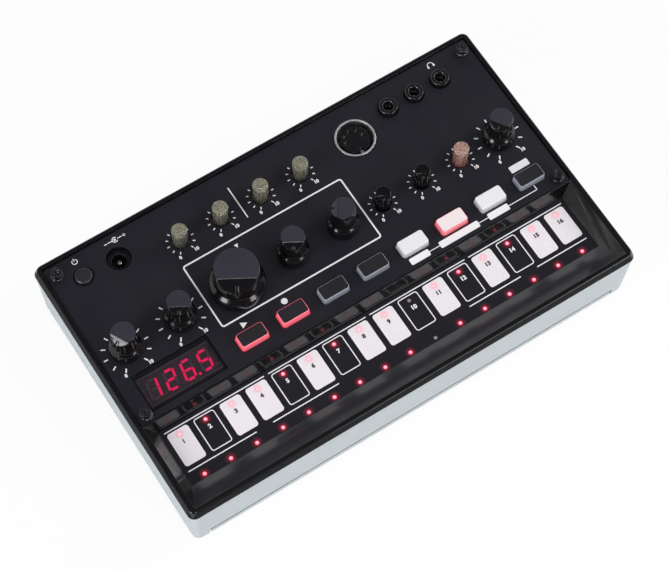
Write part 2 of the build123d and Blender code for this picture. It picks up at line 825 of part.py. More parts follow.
def pointer_plane(place, z, clock):
    """Upright plane through a dial's axis, its first axis along the pointer."""
    pointer = Vector(sin(radians(clock)), cos(radians(clock)), 0)
    return Plane(origin=(place[0], place[1], z), x_dir=pointer, z_dir=pointer.cross(Vector(0, 0, 1)))


def facet_outline(radius, top):
    """Wedge above the slanted pointer face, from its chord out past the rim."""
    chord = facet_chord_share * radius
    reach = radius + overrun
    fall = (reach - chord) * tan(radians(facet_slope))
    return [(chord, top), (reach, top - fall), (reach, top + overrun), (chord, top + overrun)]


def notch_outline(radius, top, depth):
    """Groove that follows the slanted face from part way down it and out through the side."""
    start = notch_start_share * radius
    reach = radius + overrun
    slope = tan(radians(facet_slope))
    chord = facet_chord_share * radius
    start_z = top - (start - chord) * slope - depth
    reach_z = top - (reach - chord) * slope - depth
    return [(start, start_z), (reach, reach_z), (reach, top), (start, top)]


def turned_knob(place, radius, skirt_radius, clock):
    """Pushed-on knob: straight stem, flared skirt, slanted pointer face with a notch, bore with a flat."""
    side = pointer_plane(place, knob_z, clock)
    stem = radius + stem_flare
    with BuildPart() as knob:
        with BuildSketch(side):
            with BuildLine():
                Polyline(
                    (0, 0),
                    (skirt_radius - skirt_edge, 0),
                    (skirt_radius, skirt_edge),
                    (skirt_radius, skirt_band),
                )
                Spline((skirt_radius, skirt_band), (stem, shoulder_height), tangents=((0, 1), (0, 1)))
                Polyline(
                    (stem, shoulder_height),
                    (radius, knob_height - top_edge),
                    (radius - top_edge, knob_height),
                    (0, knob_height),
                    (0, 0),
                )
            make_face()
        revolve(axis=Axis((place[0], place[1], knob_z), (0, 0, 1)))
        with BuildSketch(side):
            with BuildLine():
                Polyline(*facet_outline(radius, knob_height), close=True)
            make_face()
        extrude(amount=radius + overrun, both=True, mode=Mode.SUBTRACT)
        with BuildSketch(side):
            with BuildLine():
                Polyline(*notch_outline(radius, knob_height, notch_depth), close=True)
            make_face()
        extrude(amount=notch_width / 2, both=True, mode=Mode.SUBTRACT)
        with BuildSketch(Plane(origin=side.origin, x_dir=side.x_dir, z_dir=(0, 0, 1))):
            Circle(shaft_radius + bore_fit)
            with Locations((shaft_flat + bore_fit, 0)):
                Rectangle(4 * shaft_radius, 4 * shaft_radius, align=(Align.MAX, Align.CENTER),
                          mode=Mode.INTERSECT)
        extrude(amount=bore_depth, mode=Mode.SUBTRACT)
    return knob.part


def knob_shaft(place, clock):
    """Round shaft in the potentiometer, with a flat where the knob grips it."""
    side = pointer_plane(place, knob_z, clock)
    with BuildPart() as shaft:
        with Locations((place[0], place[1], shaft_z)):
            Cylinder(shaft_radius, knob_z - shaft_z - bore_fit, align=bottom)
        with BuildSketch(Plane(origin=side.origin, x_dir=side.x_dir, z_dir=(0, 0, 1)).offset(-bore_fit)):
            Circle(shaft_radius)
            with Locations((shaft_flat, 0)):
                Rectangle(4 * shaft_radius, 4 * shaft_radius, align=(Align.MAX, Align.CENTER),
                          mode=Mode.INTERSECT)
        extrude(amount=bore_depth)
    return shaft.part


def trim_shaft(place, clock):
    """Bare plastic shaft that is turned by hand, its top cut to a slanted pointer face."""
    trim_height = panel_top_z + trim_rise - shaft_z
    side = pointer_plane(place, shaft_z, clock)
    with BuildPart() as trim:
        with Locations((place[0], place[1], shaft_z)):
            Cylinder(shaft_radius, trim_height, align=bottom)
        chamfer(trim.edges().sort_by(Axis.Z)[-1], top_edge)
        with BuildSketch(side):
            with BuildLine():
                Polyline(*facet_outline(shaft_radius, trim_height), close=True)
            make_face()
        extrude(amount=shaft_radius + overrun, both=True, mode=Mode.SUBTRACT)
        with BuildSketch(side):
            with BuildLine():
                Polyline(*notch_outline(shaft_radius, trim_height, trim_notch_depth), close=True)
            make_face()
        extrude(amount=trim_notch_width / 2, both=True, mode=Mode.SUBTRACT)
    return trim.part


for name, place in knob_places.items():
    radius = pitch_knob_radius if name == "pitch" else knob_radius
    skirt_radius = pitch_skirt_radius if name == "pitch" else knob_skirt_radius
    knob_part = turned_knob(place, radius, skirt_radius, rest_clock[name])
    knob_part.label = f"{name}_knob"
    export_step(knob_part, f"parts/{name}_knob.step")
    shaft_part = knob_shaft(place, rest_clock[name])
    shaft_part.label = f"{name}_shaft"
    export_step(shaft_part, f"parts/{name}_shaft.step")

for name, place in trim_places.items():
    trim_part = trim_shaft(place, trim_clock)
    trim_part.label = name
    export_step(trim_part, f"parts/{name}.step")

# Push buttons: tapered cap through the panel, flange that stops it from below, leg into the switch
cap_flange_z = panel_z - button_rest_gap - button_flange_thickness
leg_end_z = board_z + switch_floor + button_travel + leg_spare


def button_cap(place):
    """Rectangular cap with its flange and leg."""
    x, y = place
    with BuildPart() as cap:
        with BuildSketch(Plane((x, y, panel_top_z))):
            RectangleRounded(button_width, button_depth, button_corner)
        extrude(amount=button_rise, taper=button_taper)
        fillet(cap.faces().sort_by(Axis.Z)[-1].edges(), button_round)
        with BuildSketch(Plane((x, y, cap_flange_z))):
            RectangleRounded(button_width, button_depth, button_corner)
        extrude(amount=panel_top_z - cap_flange_z)
        with BuildSketch(Plane((x, y, cap_flange_z))):
            RectangleRounded(button_width + 2 * button_flange, button_depth + 2 * button_flange,
                             button_corner)
        extrude(amount=button_flange_thickness)
        with Locations((x, y, leg_end_z)):
            Cylinder(leg_radius, cap_flange_z - leg_end_z, align=bottom)
    return cap.part


for label, place in zip(button_names, button_places):
    cap_part = button_cap(place)
    cap_part.label = label
    export_step(cap_part, f"parts/{label}.step")

with BuildPart() as tact_switches:
    with Locations(*at_height(button_places, board_z)):
        Box(switch_size, switch_size, switch_height, align=bottom)
    with Locations(*at_height(button_places, board_z + switch_floor)):
        Cylinder(leg_radius + leg_clearance, switch_height, align=bottom, mode=Mode.SUBTRACT)
tact_switches.part.label = "tact_switches"
export_step(tact_switches.part, "parts/tact_switches.step")

# Power button and its switch
power_x, power_y = power_place
power_leg_z = board_z + switch_floor + power_travel + leg_spare
with BuildPart() as power_button:
    with Locations((power_x, power_y, cap_flange_z)):
        Cylinder(power_radius, panel_top_z + power_rise - cap_flange_z, align=bottom)
        chamfer(power_button.edges().sort_by(Axis.Z)[-1], power_bevel)
        Cylinder(power_radius + power_flange, button_flange_thickness, align=bottom)
    with Locations((power_x, power_y, power_leg_z)):
        Cylinder(leg_radius, cap_flange_z - power_leg_z, align=bottom)
power_button.part.label = "power_button"
export_step(power_button.part, "parts/power_button.step")

with BuildPart() as power_switch:
    with Locations((power_x, power_y, board_z)):
        Box(power_switch_size, power_switch_size, power_switch_height, align=bottom)
    with Locations((power_x, power_y, board_z + switch_floor)):
        Cylinder(leg_radius + leg_clearance, power_switch_height, align=bottom, mode=Mode.SUBTRACT)
power_switch.part.label = "power_switch"
export_step(power_switch.part, "parts/power_switch.step")

# Power inlet with its centre pin
dc_x, dc_y = dc_place
dc_face_z = panel_top_z - dc_sink
with BuildPart() as dc_jack:
    with Locations((dc_x, dc_y, board_z)):
        Box(dc_size, dc_size, dc_face_z - board_z, align=bottom)
    with Locations((dc_x, dc_y, dc_face_z)):
        Cylinder(dc_bore_radius, dc_bore_depth, align=hanging, mode=Mode.SUBTRACT)
dc_jack.part.label = "dc_jack"
export_step(dc_jack.part, "parts/dc_jack.step")

with BuildPart() as dc_pin:
    with Locations((dc_x, dc_y, dc_face_z - dc_bore_depth)):
        Cylinder(dc_pin_radius, dc_bore_depth - dc_pin_sink, align=bottom)
    fillet(dc_pin.edges().sort_by(Axis.Z)[-1], dc_pin_radius / 2)
dc_pin.part.label = "dc_pin"
export_step(dc_pin.part, "parts/dc_pin.step")

# Five-pole round socket: metal shell with its key lug, insert and tubular contacts
din_x, din_y = din_place
din_inner = din_shell_radius - din_shell_wall
core_top_z = panel_top_z - din_core_sink
lug_depth = din_inner - din_core_radius + din_key_depth - din_lug_gap
lug_height = core_top_z - din_lug_sink - board_z - din_base
with BuildPart() as din_shell:
    with Locations((din_x, din_y, board_z)):
        Cylinder(din_shell_radius, panel_top_z + din_shell_rise - board_z, align=bottom)
        Cylinder(din_inner, panel_top_z + din_shell_rise - board_z, align=bottom, mode=Mode.SUBTRACT)
    with Locations((din_x, din_y - din_inner - din_shell_wall / 2, board_z + din_base)):
        Box(din_key_width - 2 * din_lug_gap, lug_depth + din_shell_wall / 2, lug_height,
            align=from_front)
din_shell.part.label = "din_shell"
export_step(din_shell.part, "parts/din_shell.step")

with BuildPart() as din_insert:
    with Locations((din_x, din_y, board_z)):
        Cylinder(din_inner - din_insert_fit, din_base - din_insert_fit, align=bottom)
        Cylinder(din_core_radius, core_top_z - board_z, align=bottom)
    with Locations((din_x, din_y - din_core_radius, board_z + din_base)):
        Box(din_key_width, 2 * din_key_depth, core_top_z - board_z, align=bottom, mode=Mode.SUBTRACT)
    with Locations((din_x, din_y, core_top_z)):
        with PolarLocations(din_pin_circle, din_pin_count, angular_range=180, endpoint=True):
            Cylinder(din_pin_radius, din_pin_depth, align=hanging, mode=Mode.SUBTRACT)
din_insert.part.label = "din_insert"
export_step(din_insert.part, "parts/din_insert.step")

contact_radius = din_pin_radius - din_contact_fit
with BuildPart() as din_contacts:
    with Locations((din_x, din_y, core_top_z - din_pin_depth)):
        with PolarLocations(din_pin_circle, din_pin_count, angular_range=180, endpoint=True):
            Cylinder(contact_radius, din_pin_depth - din_contact_sink, align=bottom)
            Cylinder(contact_radius - din_contact_wall, din_pin_depth, align=bottom, mode=Mode.SUBTRACT)
din_contacts.part.label = "din_contacts"
export_step(din_contacts.part, "parts/din_contacts.step")

# Three small jacks: housing, sleeve through the panel, bore that widens below; and their tip springs
sleeve_top_z = panel_top_z + sleeve_rise
chamber_z = board_z + jack_floor
with BuildPart() as mini_jacks:
    with Locations(*at_height(jack_places, board_z)):
        Box(jack_width, jack_length, board_drop - jack_gap, align=bottom)
        Cylinder(sleeve_radius, sleeve_top_z - board_z, align=bottom)
    chamfer(mini_jacks.edges().group_by(Axis.Z)[-1], sleeve_edge)
    with Locations(*at_height(jack_places, sleeve_top_z)):
        Cylinder(jack_bore_radius, jack_mouth + jack_bore_length, align=hanging, mode=Mode.SUBTRACT)
        Cone(jack_bore_radius, jack_bore_radius + jack_mouth, jack_mouth, align=hanging, mode=Mode.SUBTRACT)
    with Locations(*at_height(jack_places, chamber_z)):
        Cylinder(jack_chamber_radius, sleeve_top_z - jack_mouth - jack_bore_length - chamber_z,
                 align=bottom, mode=Mode.SUBTRACT)
mini_jacks.part.label = "mini_jacks"
export_step(mini_jacks.part, "parts/mini_jacks.step")

with BuildPart() as jack_contacts:
    with Locations(*[(x, y + leaf_offset, chamber_z) for x, y in jack_places]):
        Box(leaf_width, leaf_thickness, leaf_height, align=bottom)
jack_contacts.part.label = "jack_contacts"
export_step(jack_contacts.part, "parts/jack_contacts.step")

# Display: housing with a sunken face, lit bars, and the smoked window above them
module_face_z = panel_z - module_recess
with BuildPart() as display_module:
    with Locations((display_x, display_y, board_z)):
        Box(module_width, module_depth, panel_z - board_z, align=bottom)
    with Locations((display_x, display_y, module_face_z)):
        Box(module_width - 2 * module_border, module_depth - 2 * module_border, module_recess + overrun,
            align=bottom, mode=Mode.SUBTRACT)
display_module.part.label = "display_module"
export_step(display_module.part, "parts/display_module.step")

digit_pitch = (module_width - 2 * module_border) / digit_count
digit_width = digit_width_share * digit_pitch
bar_span = digit_height - segment_width
column_span = digit_width - segment_width
bar_length = column_span - segment_width - 2 * segment_gap
post_length = bar_span / 2 - 2 * segment_gap
lean = tan(radians(digit_slant))
with BuildPart() as display_segments:
    for digit in range(digit_count):
        digit_x = display_x + digit_pitch * (digit - (digit_count - 1) / 2)
        for height_share in (-0.5, 0, 0.5):
            bar_y = height_share * bar_span
            with Locations((digit_x + bar_y * lean, display_y + bar_y, module_face_z)):
                Box(bar_length, segment_width, segment_height, align=bottom)
        for side_share in (-0.5, 0.5):
            for height_share in (-0.25, 0.25):
                post_y = height_share * bar_span
                post_x = digit_x + side_share * column_span + post_y * lean
                with Locations(Location((post_x, display_y + post_y, module_face_z), (0, 0, -digit_slant))):
                    Box(segment_width, post_length, segment_height, align=bottom)
        point_x = digit_x + digit_pitch / 2 - lean * bar_span / 2
        with Locations((point_x, display_y - bar_span / 2, module_face_z)):
            Cylinder(point_radius, segment_height, align=bottom)
display_segments.part.label = "display_segments"
export_step(display_segments.part, "parts/display_segments.step")

with BuildPart() as display_window:
    with Locations((display_x, display_y, panel_z)):
        Box(display_width - 2 * window_clearance, display_depth - 2 * window_clearance, window_thickness,
            align=bottom)
display_window.part.label = "display_window"
export_step(display_window.part, "parts/display_window.step")
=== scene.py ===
import math

import bmesh
import bpy
from bpy.props import FloatProperty, FloatVectorProperty, IntProperty, PointerProperty
from mathutils import Matrix, Vector


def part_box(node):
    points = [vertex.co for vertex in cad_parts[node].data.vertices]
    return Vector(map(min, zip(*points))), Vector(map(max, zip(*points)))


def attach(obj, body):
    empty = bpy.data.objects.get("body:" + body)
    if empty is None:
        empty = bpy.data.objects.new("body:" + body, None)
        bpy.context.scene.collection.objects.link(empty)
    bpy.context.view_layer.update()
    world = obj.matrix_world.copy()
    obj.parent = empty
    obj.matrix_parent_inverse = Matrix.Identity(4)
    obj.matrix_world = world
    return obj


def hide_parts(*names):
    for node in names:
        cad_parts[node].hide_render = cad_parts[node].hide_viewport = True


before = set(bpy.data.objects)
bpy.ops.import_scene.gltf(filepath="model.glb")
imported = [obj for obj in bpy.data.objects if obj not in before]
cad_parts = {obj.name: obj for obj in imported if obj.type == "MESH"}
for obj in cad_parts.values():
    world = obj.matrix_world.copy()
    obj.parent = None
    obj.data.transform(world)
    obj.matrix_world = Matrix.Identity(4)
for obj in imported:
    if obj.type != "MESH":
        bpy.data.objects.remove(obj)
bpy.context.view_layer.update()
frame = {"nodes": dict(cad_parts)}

bl_info = {
    "name": "Drum synthesizer looks",
    "version": (1, 0, 0),
    "blender": (4, 5, 0),
    "location": "3D View > Sidebar > Drum synth",
    "description": "Dresses the packed drum synthesizer with its print, keys, lights and finishes",
    "category": "Object",
}

mm = 0.001
ink_height = 0.04 * mm
panel_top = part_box("top_panel")[1].z
film_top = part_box("touch_film")[1].z
no_light = (0.0, 0.0, 0.0)
full_white = (1.0, 1.0, 1.0)

# Copies of the solids: points nearer than the weld are one, and edges are rounded by these widths
weld = 0.002 * mm
flat_angle = math.radians(0.4)
round_angle = math.radians(28)
round_steps = 3
fine_edge = 0.12 * mm
stem_edge = 0.15 * mm
plate_edge = 0.16 * mm
screw_edge = 0.18 * mm
case_edge = 0.2 * mm

# Front slope of the tray: how its faces lean back and up, and how deep it is hollowed
slope_lean = (0.4, 0.75)
slope_rise = 0.6
scoop_steps = 10
scoop_depth = 0.6 * mm

# Knobs: heights of the skirt's straight band and of the stem's foot, and the part between that curves
skirt_band = 3.0 * mm
shoulder_height = 7.6 * mm
shoulder_steps = 14
shoulder_start = 0.25
shoulder_span = 0.5
outside_share = 0.9

# Dials and buttons
big_dials = ("drive", "tone", "pitch", "bend", "time", "volume")
small_dials = ("colour", "level", "attack", "decay", "accent", "swing", "tempo")
marked_dials = ("drive", "tone", "volume")
dark_shafts = ("accent", "swing")
big_ring = {"Radius": 8.4 * mm, "Length": 1.65 * mm, "Width": 0.5 * mm}
small_ring = {"Radius": 5.07 * mm, "Length": 1.0 * mm, "Width": 0.4 * mm}
big_number_radius = 10.4 * mm
small_number_radius = 6.9 * mm
dial_number_share = 0.8
cap_kinds = {
    "play": "red", "record": "red", "mode": "grey", "effect": "grey",
    "accent": "white", "active": "pink", "memory": "white", "function": "grey",
}

# Type of the printed numbers: type size and stroke weight against the height of a number
type_scale = 1.38
type_weight = 0.07
type_steps = 3

# Lines on the panel
thin_share = 0.7
section_low = (-49.0 * mm, -0.5 * mm)
section_high = (20.5 * mm, 28.5 * mm)
section_corner = 1.2 * mm
upright_line = [(-17.6 * mm, 33.0 * mm), (-17.6 * mm, 47.5 * mm)]

# Signs and tags; listed shapes and spans are in millimetres, and arcs in degrees
sign_line = 0.32 * mm
sign_row = 51.4 * mm
sign_rise = 5.95 * mm
play_shape = ((-1.0, -1.3), (1.5, 0.0), (-1.0, 1.3))
pitch_shape = ((7.4, 14.9), (8.2, 13.3), (9.0, 14.9))
single_tag = ((-4.1, -1.2), (4.1, 1.7))
tag_drop = 5.7 * mm
tag_half = 1.4 * mm
tag_corner = 0.5 * mm
tag_spans = ((23.5, 31.9), (36.6, 54.0), (58.4, 67.5))
tag_hook = 2.1 * mm
disc_arc, disc_steps = (0, 345), 23
corner_steps = 6
power_arc = (125, 415)
inlet_arc = (35, 325)
ear_arc = (0, 180)
ring_steps = 20
ear_steps = 16
record_radius = 1.25 * mm
ring_radius = 1.0 * mm
dot_radius = 0.45 * mm
power_bar = (0.2 * mm, 1.4 * mm)
inlet_shift = 2.5 * mm
pole_reach = 3.9 * mm
pole_line = (1.1 * mm, 0.9 * mm)
pole_half = 0.6 * mm
ear_place = 76.2 * mm
ear_radius = 1.2 * mm
ear_drop = 0.2 * mm
ear_pad = ((-0.35, -1.2), (0.35, -0.1))
ear_corner = 0.2 * mm

# Touch keys and their lights
key_count = 16
white_keys = (1, 3, 4, 6, 8, 9, 11, 13, 15, 16)
dark_lamp = 10
lamp_to_key = 5.1 * mm
lamp_to_number = 3.25 * mm
lens_radius = 0.8 * mm
halo_reach = 2.6 * mm
keys_in_group = 4
group_line_share = 0.42
back_line = 2.9 * mm
front_line = 14.1 * mm
front_spans = ((-87.1, -58.5), (-51.5, -23.3), (34.0, 57.0), (64.5, 86.9))

# Display
shown_number = "126.5"
digit_lean = math.tan(math.radians(9))
bar_glow = 0.4
bar_corners = 12
bar_top, bar_bottom, bar_half = 0.85, 0.15, 0.5
bar_middle = (0.42, 0.58)
segment_letters = {
    "0": "abcdef", "1": "bc", "2": "abdeg", "3": "abcdg", "4": "bcfg",
    "5": "acdfg", "6": "acdefg", "7": "abc", "8": "abcdefg", "9": "abcdfg",
}

# Finishes: rubbed edges are lifted and lightened, and where the amount is high this lightening is a painted
# highlight; bumps are this high, a band is where one look turns into the next, and shades are shares of a
# colour
worn_glint_lift = 0.05
worn_glint_gain = 1.6
bump_height = 0.1 * mm
# The seam band is where the painted shade on the cover's lip begins
seam_shade_band = (0.2 * mm, 0.1 * mm)
wall_band = (0.9 * mm, 1.1 * mm)
cap_band = (0.06 * mm, 0.02 * mm)
glow_band = (0.5 * mm, 2.3 * mm)
patch_band = (0.35, 0.7)
rub_band = (0.4, 0.65)
# The slope band turns the frame's faces to their painted reflection
slope_reflection_band = (0.2, 0.32)
# The top band turns the knobs' upward faces to their painted sheen
top_band = (0.95, 0.99)
satin_rough = (0.38, 0.5)
streak_band = (0.36, 0.64)
streak_scale = (1700, 1700, 420)
streak_shades = (0.35, 0.4)
# Painted shade and light on the clear shafts: shades for the foot and for the top
smoke_painted_shades = (0.45, 1.5)
clear_painted_shades = (0.5, 1.1)
# Painted shade and light on the button sides: shades for the foot and for the top
side_painted_shades = (0.8, 1.1)
glow_shades = (0.15, 0.04)
smoke_scatter = (0.002, 0.002, 0.0015)
clear_scatter = (0.003, 0.001, 0.001)

# Stage: each soft box has its place, its width and height in metres, and its watts
soft_boxes = (
    ("left_box", (-0.85, -0.2, 0.45), (0.3, 0.5), 4.6),
    ("right_box", (0.8, -0.1, 0.6), (0.3, 0.5), 2.2),
    ("front_box", (0.32, -0.95, 0.38), (0.3, 0.3), 2.4),
    ("upper_box", (0.6, -0.42, 1.0), (0.3, 0.3), 2.2),
    ("top_box", (-0.12, -0.2, 1.3), (0.2, 0.2), 2.0),
)
camera_target = Vector((-5.03, -7.14, 28.3)) * mm
sensor_width = 36.0
camera_clip = (0.01, 50.0)
floor_grey = 0.86
floor_rough = 0.9
floor_share = 0.9
sky_fill = (0.42, 0.42, 0.43)
sky_front = (0.08, 0.08, 0.085)
sky_top = (0.09, 0.09, 0.1)
wall_turn = (-0.3, 0.1)
top_turn = (0.5, 0.78)


def srgb(red, green, blue):
    """Linear colour of an 8-bit screen colour."""
    parts = [value / 255 for value in (red, green, blue)]
    return tuple(part / 12.92 if part <= 0.04045 else ((part + 0.055) / 1.055) ** 2.4 for part in parts)


# Painted shade for the slot above the battery cover's lip
seam_painted_shade = srgb(108, 112, 114)
unlit_lens = srgb(150, 134, 142)


class PrintSettings(bpy.types.PropertyGroup):
    """White print on the panel and in the tray"""
    ink: FloatVectorProperty(
        name="Ink", description="Colour of the print", subtype="COLOR", default=srgb(242, 241, 245))
    tick_count: IntProperty(
        name="Ticks", description="Marks round each dial", default=11, min=2)
    tick_sweep: FloatProperty(
        name="Tick sweep", description="Angle from the first mark to the last", subtype="ANGLE",
        default=math.radians(300))
    line_width: FloatProperty(
        name="Line width", description="Width of the printed lines", subtype="DISTANCE", unit="LENGTH",
        default=0.62 * mm)
    number_height: FloatProperty(
        name="Number height", description="Height of the printed numbers", subtype="DISTANCE", unit="LENGTH",
        default=1.7 * mm)


class KeySettings(bpy.types.PropertyGroup):
    """Fields of the touch keys"""
    width: FloatProperty(
        name="Width", description="Width of a key field", subtype="DISTANCE", unit="LENGTH",
        default=8.65 * mm)
    depth: FloatProperty(
        name="Depth", description="Length of a key field, front to back", subtype="DISTANCE", unit="LENGTH",
        default=14.2 * mm)
    corner: FloatProperty(
        name="Corner", description="Corner radius of a key field", subtype="DISTANCE", unit="LENGTH",
        default=1.1 * mm)
    outline: FloatProperty(
        name="Outline", description="Line width round a dark key", subtype="DISTANCE", unit="LENGTH",
        default=0.4 * mm)
    field: FloatVectorProperty(
        name="Field", description="Colour of a pale key", subtype="COLOR", default=srgb(238, 232, 236))
    glow: FloatVectorProperty(
        name="Glow", description="Tint that the light throws on a pale key", subtype="COLOR",
        default=srgb(252, 196, 206))


class FinishSettings(bpy.types.PropertyGroup):
    """Colours of the mouldings, the paint and the lights"""
    case: FloatVectorProperty(
        name="Case", description="Pale lower case", subtype="COLOR", default=srgb(190, 198, 201))
    frame: FloatVectorProperty(
        name="Frame", description="Polished black frame", subtype="COLOR", default=srgb(13, 13, 15))
    # Painted reflection: the lighter grey of the frame's slope
    slope: FloatVectorProperty(
        name="Slope", description="Slope in front of the keys", subtype="COLOR", default=srgb(42, 42, 46))
    panel: FloatVectorProperty(
        name="Panel", description="Satin panel paint", subtype="COLOR", default=srgb(20, 20, 30))
    knob: FloatVectorProperty(
        name="Knob", description="Black knobs", subtype="COLOR", default=srgb(13, 12, 14))
    # Painted sheen: the lighter grey of the knobs' satin tops
    knob_top: FloatVectorProperty(
        name="Knob top", description="Satin tops of the knobs", subtype="COLOR", default=srgb(44, 42, 53))
    smoke: FloatVectorProperty(
        name="Smoke", description="Smoky shafts", subtype="COLOR", default=srgb(124, 121, 106))
    tempo: FloatVectorProperty(
        name="Tempo", description="Clear shaft over the red light", subtype="COLOR",
        default=srgb(184, 150, 138))
    lit: FloatVectorProperty(
        name="Lit", description="Red light", subtype="COLOR", default=srgb(236, 60, 88))
    edge: FloatProperty(
        name="Edge", description="Rounding of the knobs' edges", subtype="DISTANCE", unit="LENGTH",
        default=0.22 * mm)


class StageSettings(bpy.types.PropertyGroup):
    """Camera and floor"""
    azimuth: FloatProperty(
        name="Azimuth", description="Where the camera stands round the object", subtype="ANGLE",
        default=math.radians(-33.815))
    elevation: FloatProperty(
        name="Elevation", description="Height of the camera above the horizon", subtype="ANGLE",
        default=math.radians(65.521))
    roll: FloatProperty(
        name="Roll", description="Tilt of the picture", subtype="ANGLE", default=math.radians(1.45))
    distance: FloatProperty(
        name="Distance", description="From the camera to its target", subtype="DISTANCE", unit="LENGTH",
        default=806.6 * mm)
    lens: FloatProperty(
        name="Lens", description="Focal length on a 36 mm sensor, in millimetres", default=117.72)
    floor: FloatProperty(
        name="Floor", description="Side of the floor", subtype="DISTANCE", unit="LENGTH", default=6.0)


# Places and plain meshes


def middle(node):
    """Centre of a CAD node's box."""
    low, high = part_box(node)
    return (low + high) / 2


def lamp_row(node):
    """Places of a row of equal lamps that share one CAD node."""
    low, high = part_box(node)
    radius = (high.y - low.y) / 2
    step = (high.x - low.x - 2 * radius) / (key_count - 1)
    return [Vector((low.x + radius + step * index, low.y + radius, 0)) for index in range(key_count)]


def new_piece(name, mesh, *materials):
    """Object at the origin that shows a mesh."""
    mesh.materials.clear()
    for material in materials:
        mesh.materials.append(material)
    piece = bpy.data.objects.new(name, mesh)
    bpy.context.scene.collection.objects.link(piece)
    return piece


def carried(piece, body, slot, *nodes):
    """Lets a piece ride on its body and stand for its CAD nodes."""
    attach(piece, body)
    if nodes:
        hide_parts(*nodes)
    return piece


def dress(node, material):
    """Gives a CAD node that stays its material."""
    slots = frame["nodes"][node].data.materials
    slots.clear()
    slots.append(material)


def plain(piece):
    """Works a piece's modifiers into its mesh."""
    bpy.context.view_layer.update()
    graph = bpy.context.evaluated_depsgraph_get()
    mesh = bpy.data.meshes.new_from_object(
        piece.evaluated_get(graph), preserve_all_data_layers=True, depsgraph=graph)
    old = piece.data
    piece.modifiers.clear()
    piece.data = mesh
    bpy.data.meshes.remove(old)
    return piece


def merged_copy(node, shape=None):
    """A CAD node's mesh, its loose triangles joined and its flat faces cleared of edges, shaped if asked."""
    mesh = frame["nodes"][node].data.copy()
    loose = mesh.attributes.get("custom_normal")
    if loose:
        mesh.attributes.remove(loose)
    work = bmesh.new()
    work.from_mesh(mesh)
    bmesh.ops.remove_doubles(work, verts=work.verts, dist=weld)
    bmesh.ops.dissolve_limit(
        work, angle_limit=flat_angle, verts=work.verts, edges=work.edges, use_dissolve_boundaries=False)
    if shape:
        shape(work)
    bmesh.ops.triangulate(work, faces=[face for face in work.faces if len(face.verts) > 4])
    work.to_mesh(mesh)
    work.free()
    return mesh


def softened(node, name, material, width, body, slot, clamp=False, shape=None):
    """Stands for a CAD node with a copy whose edges are rounded and marked for rub marks and painted edge
    highlights.
    """
    piece = new_piece(name, merged_copy(node, shape), material, material)
    piece.data.shade_smooth()
    bevel = piece.modifiers.new("edge", "BEVEL")
    bevel.width = width
    bevel.segments = round_steps
    bevel.limit_method = "ANGLE"
    bevel.angle_limit = round_angle
    bevel.use_clamp_overlap = clamp
    bevel.loop_slide = False
    bevel.material = 1
    even = piece.modifiers.new("normals", "WEIGHTED_NORMAL")
    even.keep_sharp = True
    plain(piece)
    mesh = piece.data
    worn = [float(face.material_index == 1) for face in mesh.polygons]
    mark = mesh.attributes.new("edge", "FLOAT", "FACE")
    mark.data.foreach_set("value", worn)
    mesh.polygons.foreach_set("material_index", [0] * len(worn))
    mesh.materials.pop()
    return carried(piece, body, slot, node)


def front_slope(work):
    """Faces of the slope between the film and the front rim."""
    lamps_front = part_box("step_leds")[0].y
    work.normal_update()
    return [face for face in work.faces
            if slope_lean[0] < face.normal.y < slope_lean[1] and face.normal.z > slope_rise
            and face.calc_center_median().y < lamps_front]


def scooped(work):
    """Hollows the front slope of the tray a little, so that it runs out flatter towards the film."""
    ends = [vert.co.y for face in front_slope(work) for vert in face.verts]
    front, back = min(ends), max(ends)
    for step in range(1, scoop_steps):
        faces = front_slope(work)
        geometry = {part for face in faces for part in (face, *face.edges, *face.verts)}
        level = front + (back - front) * step / scoop_steps
        bmesh.ops.bisect_plane(
            work, geom=list(geometry), dist=weld, plane_co=(0, level, 0), plane_no=(0, 1, 0))
    for vert in {vert for face in front_slope(work) for vert in face.verts}:
        share = (vert.co.y - front) / (back - front)
        vert.co.z -= 4 * scoop_depth * share * (1 - share)
    work.normal_update()


def belled(work):
    """Draws the knob's shoulder together, so that the skirt ends in a fuller round."""
    places = [vert.co.copy() for vert in work.verts]
    low = min(place.z for place in places)
    centre = Vector([(min(part) + max(part)) / 2 for part in zip(*places)])
    foot, neck = low + skirt_band, low + shoulder_height
    for step in range(1, shoulder_steps):
        level = foot + (neck - foot) * step / shoulder_steps
        bmesh.ops.bisect_plane(work, geom=[*work.verts, *work.edges, *work.faces], dist=weld,
                               plane_co=(0, 0, level), plane_no=(0, 0, 1))
    spans = {vert: Vector((vert.co.x - centre.x, vert.co.y - centre.y, 0)) for vert in work.verts}
    skirt = max(span.length for span in spans.values())
    stem = max(span.length for vert, span in spans.items() if vert.co.z > neck - weld)
    for vert, span in spans.items():
        if foot < vert.co.z < neck and span.length > outside_share * stem:
            share = ((vert.co.z - foot) / (neck - foot) - shoulder_start) / shoulder_span
            share = min(max(share, 0.0), 1.0)
            wanted = skirt + (stem - skirt) * share * share * (3 - 2 * share)
            vert.co += span * (wanted / span.length - 1)
    work.normal_update()


# Print


def arc(centre, radius, first, last, count):
    """Points of an arc, its angles in degrees anticlockwise from the right."""
    angles = [math.radians(first + (last - first) * step / count) for step in range(count + 1)]
    return [(centre[0] + radius * math.cos(a), centre[1] + radius * math.sin(a)) for a in angles]


def disc(centre, radius):
    """Outline of a full circle."""
    return arc(centre, radius, *disc_arc, disc_steps)


def rounded_box(low, high, radius):
    """Outline of a rectangle with round corners."""
    corners = (
        ((high[0] - radius, high[1] - radius), 0),
        ((low[0] + radius, high[1] - radius), 90),
        ((low[0] + radius, low[1] + radius), 180),
        ((high[0] - radius, low[1] + radius), 270),
    )
    return [point for centre, turn in corners
            for point in arc(centre, radius, turn, turn + 90, corner_steps)]


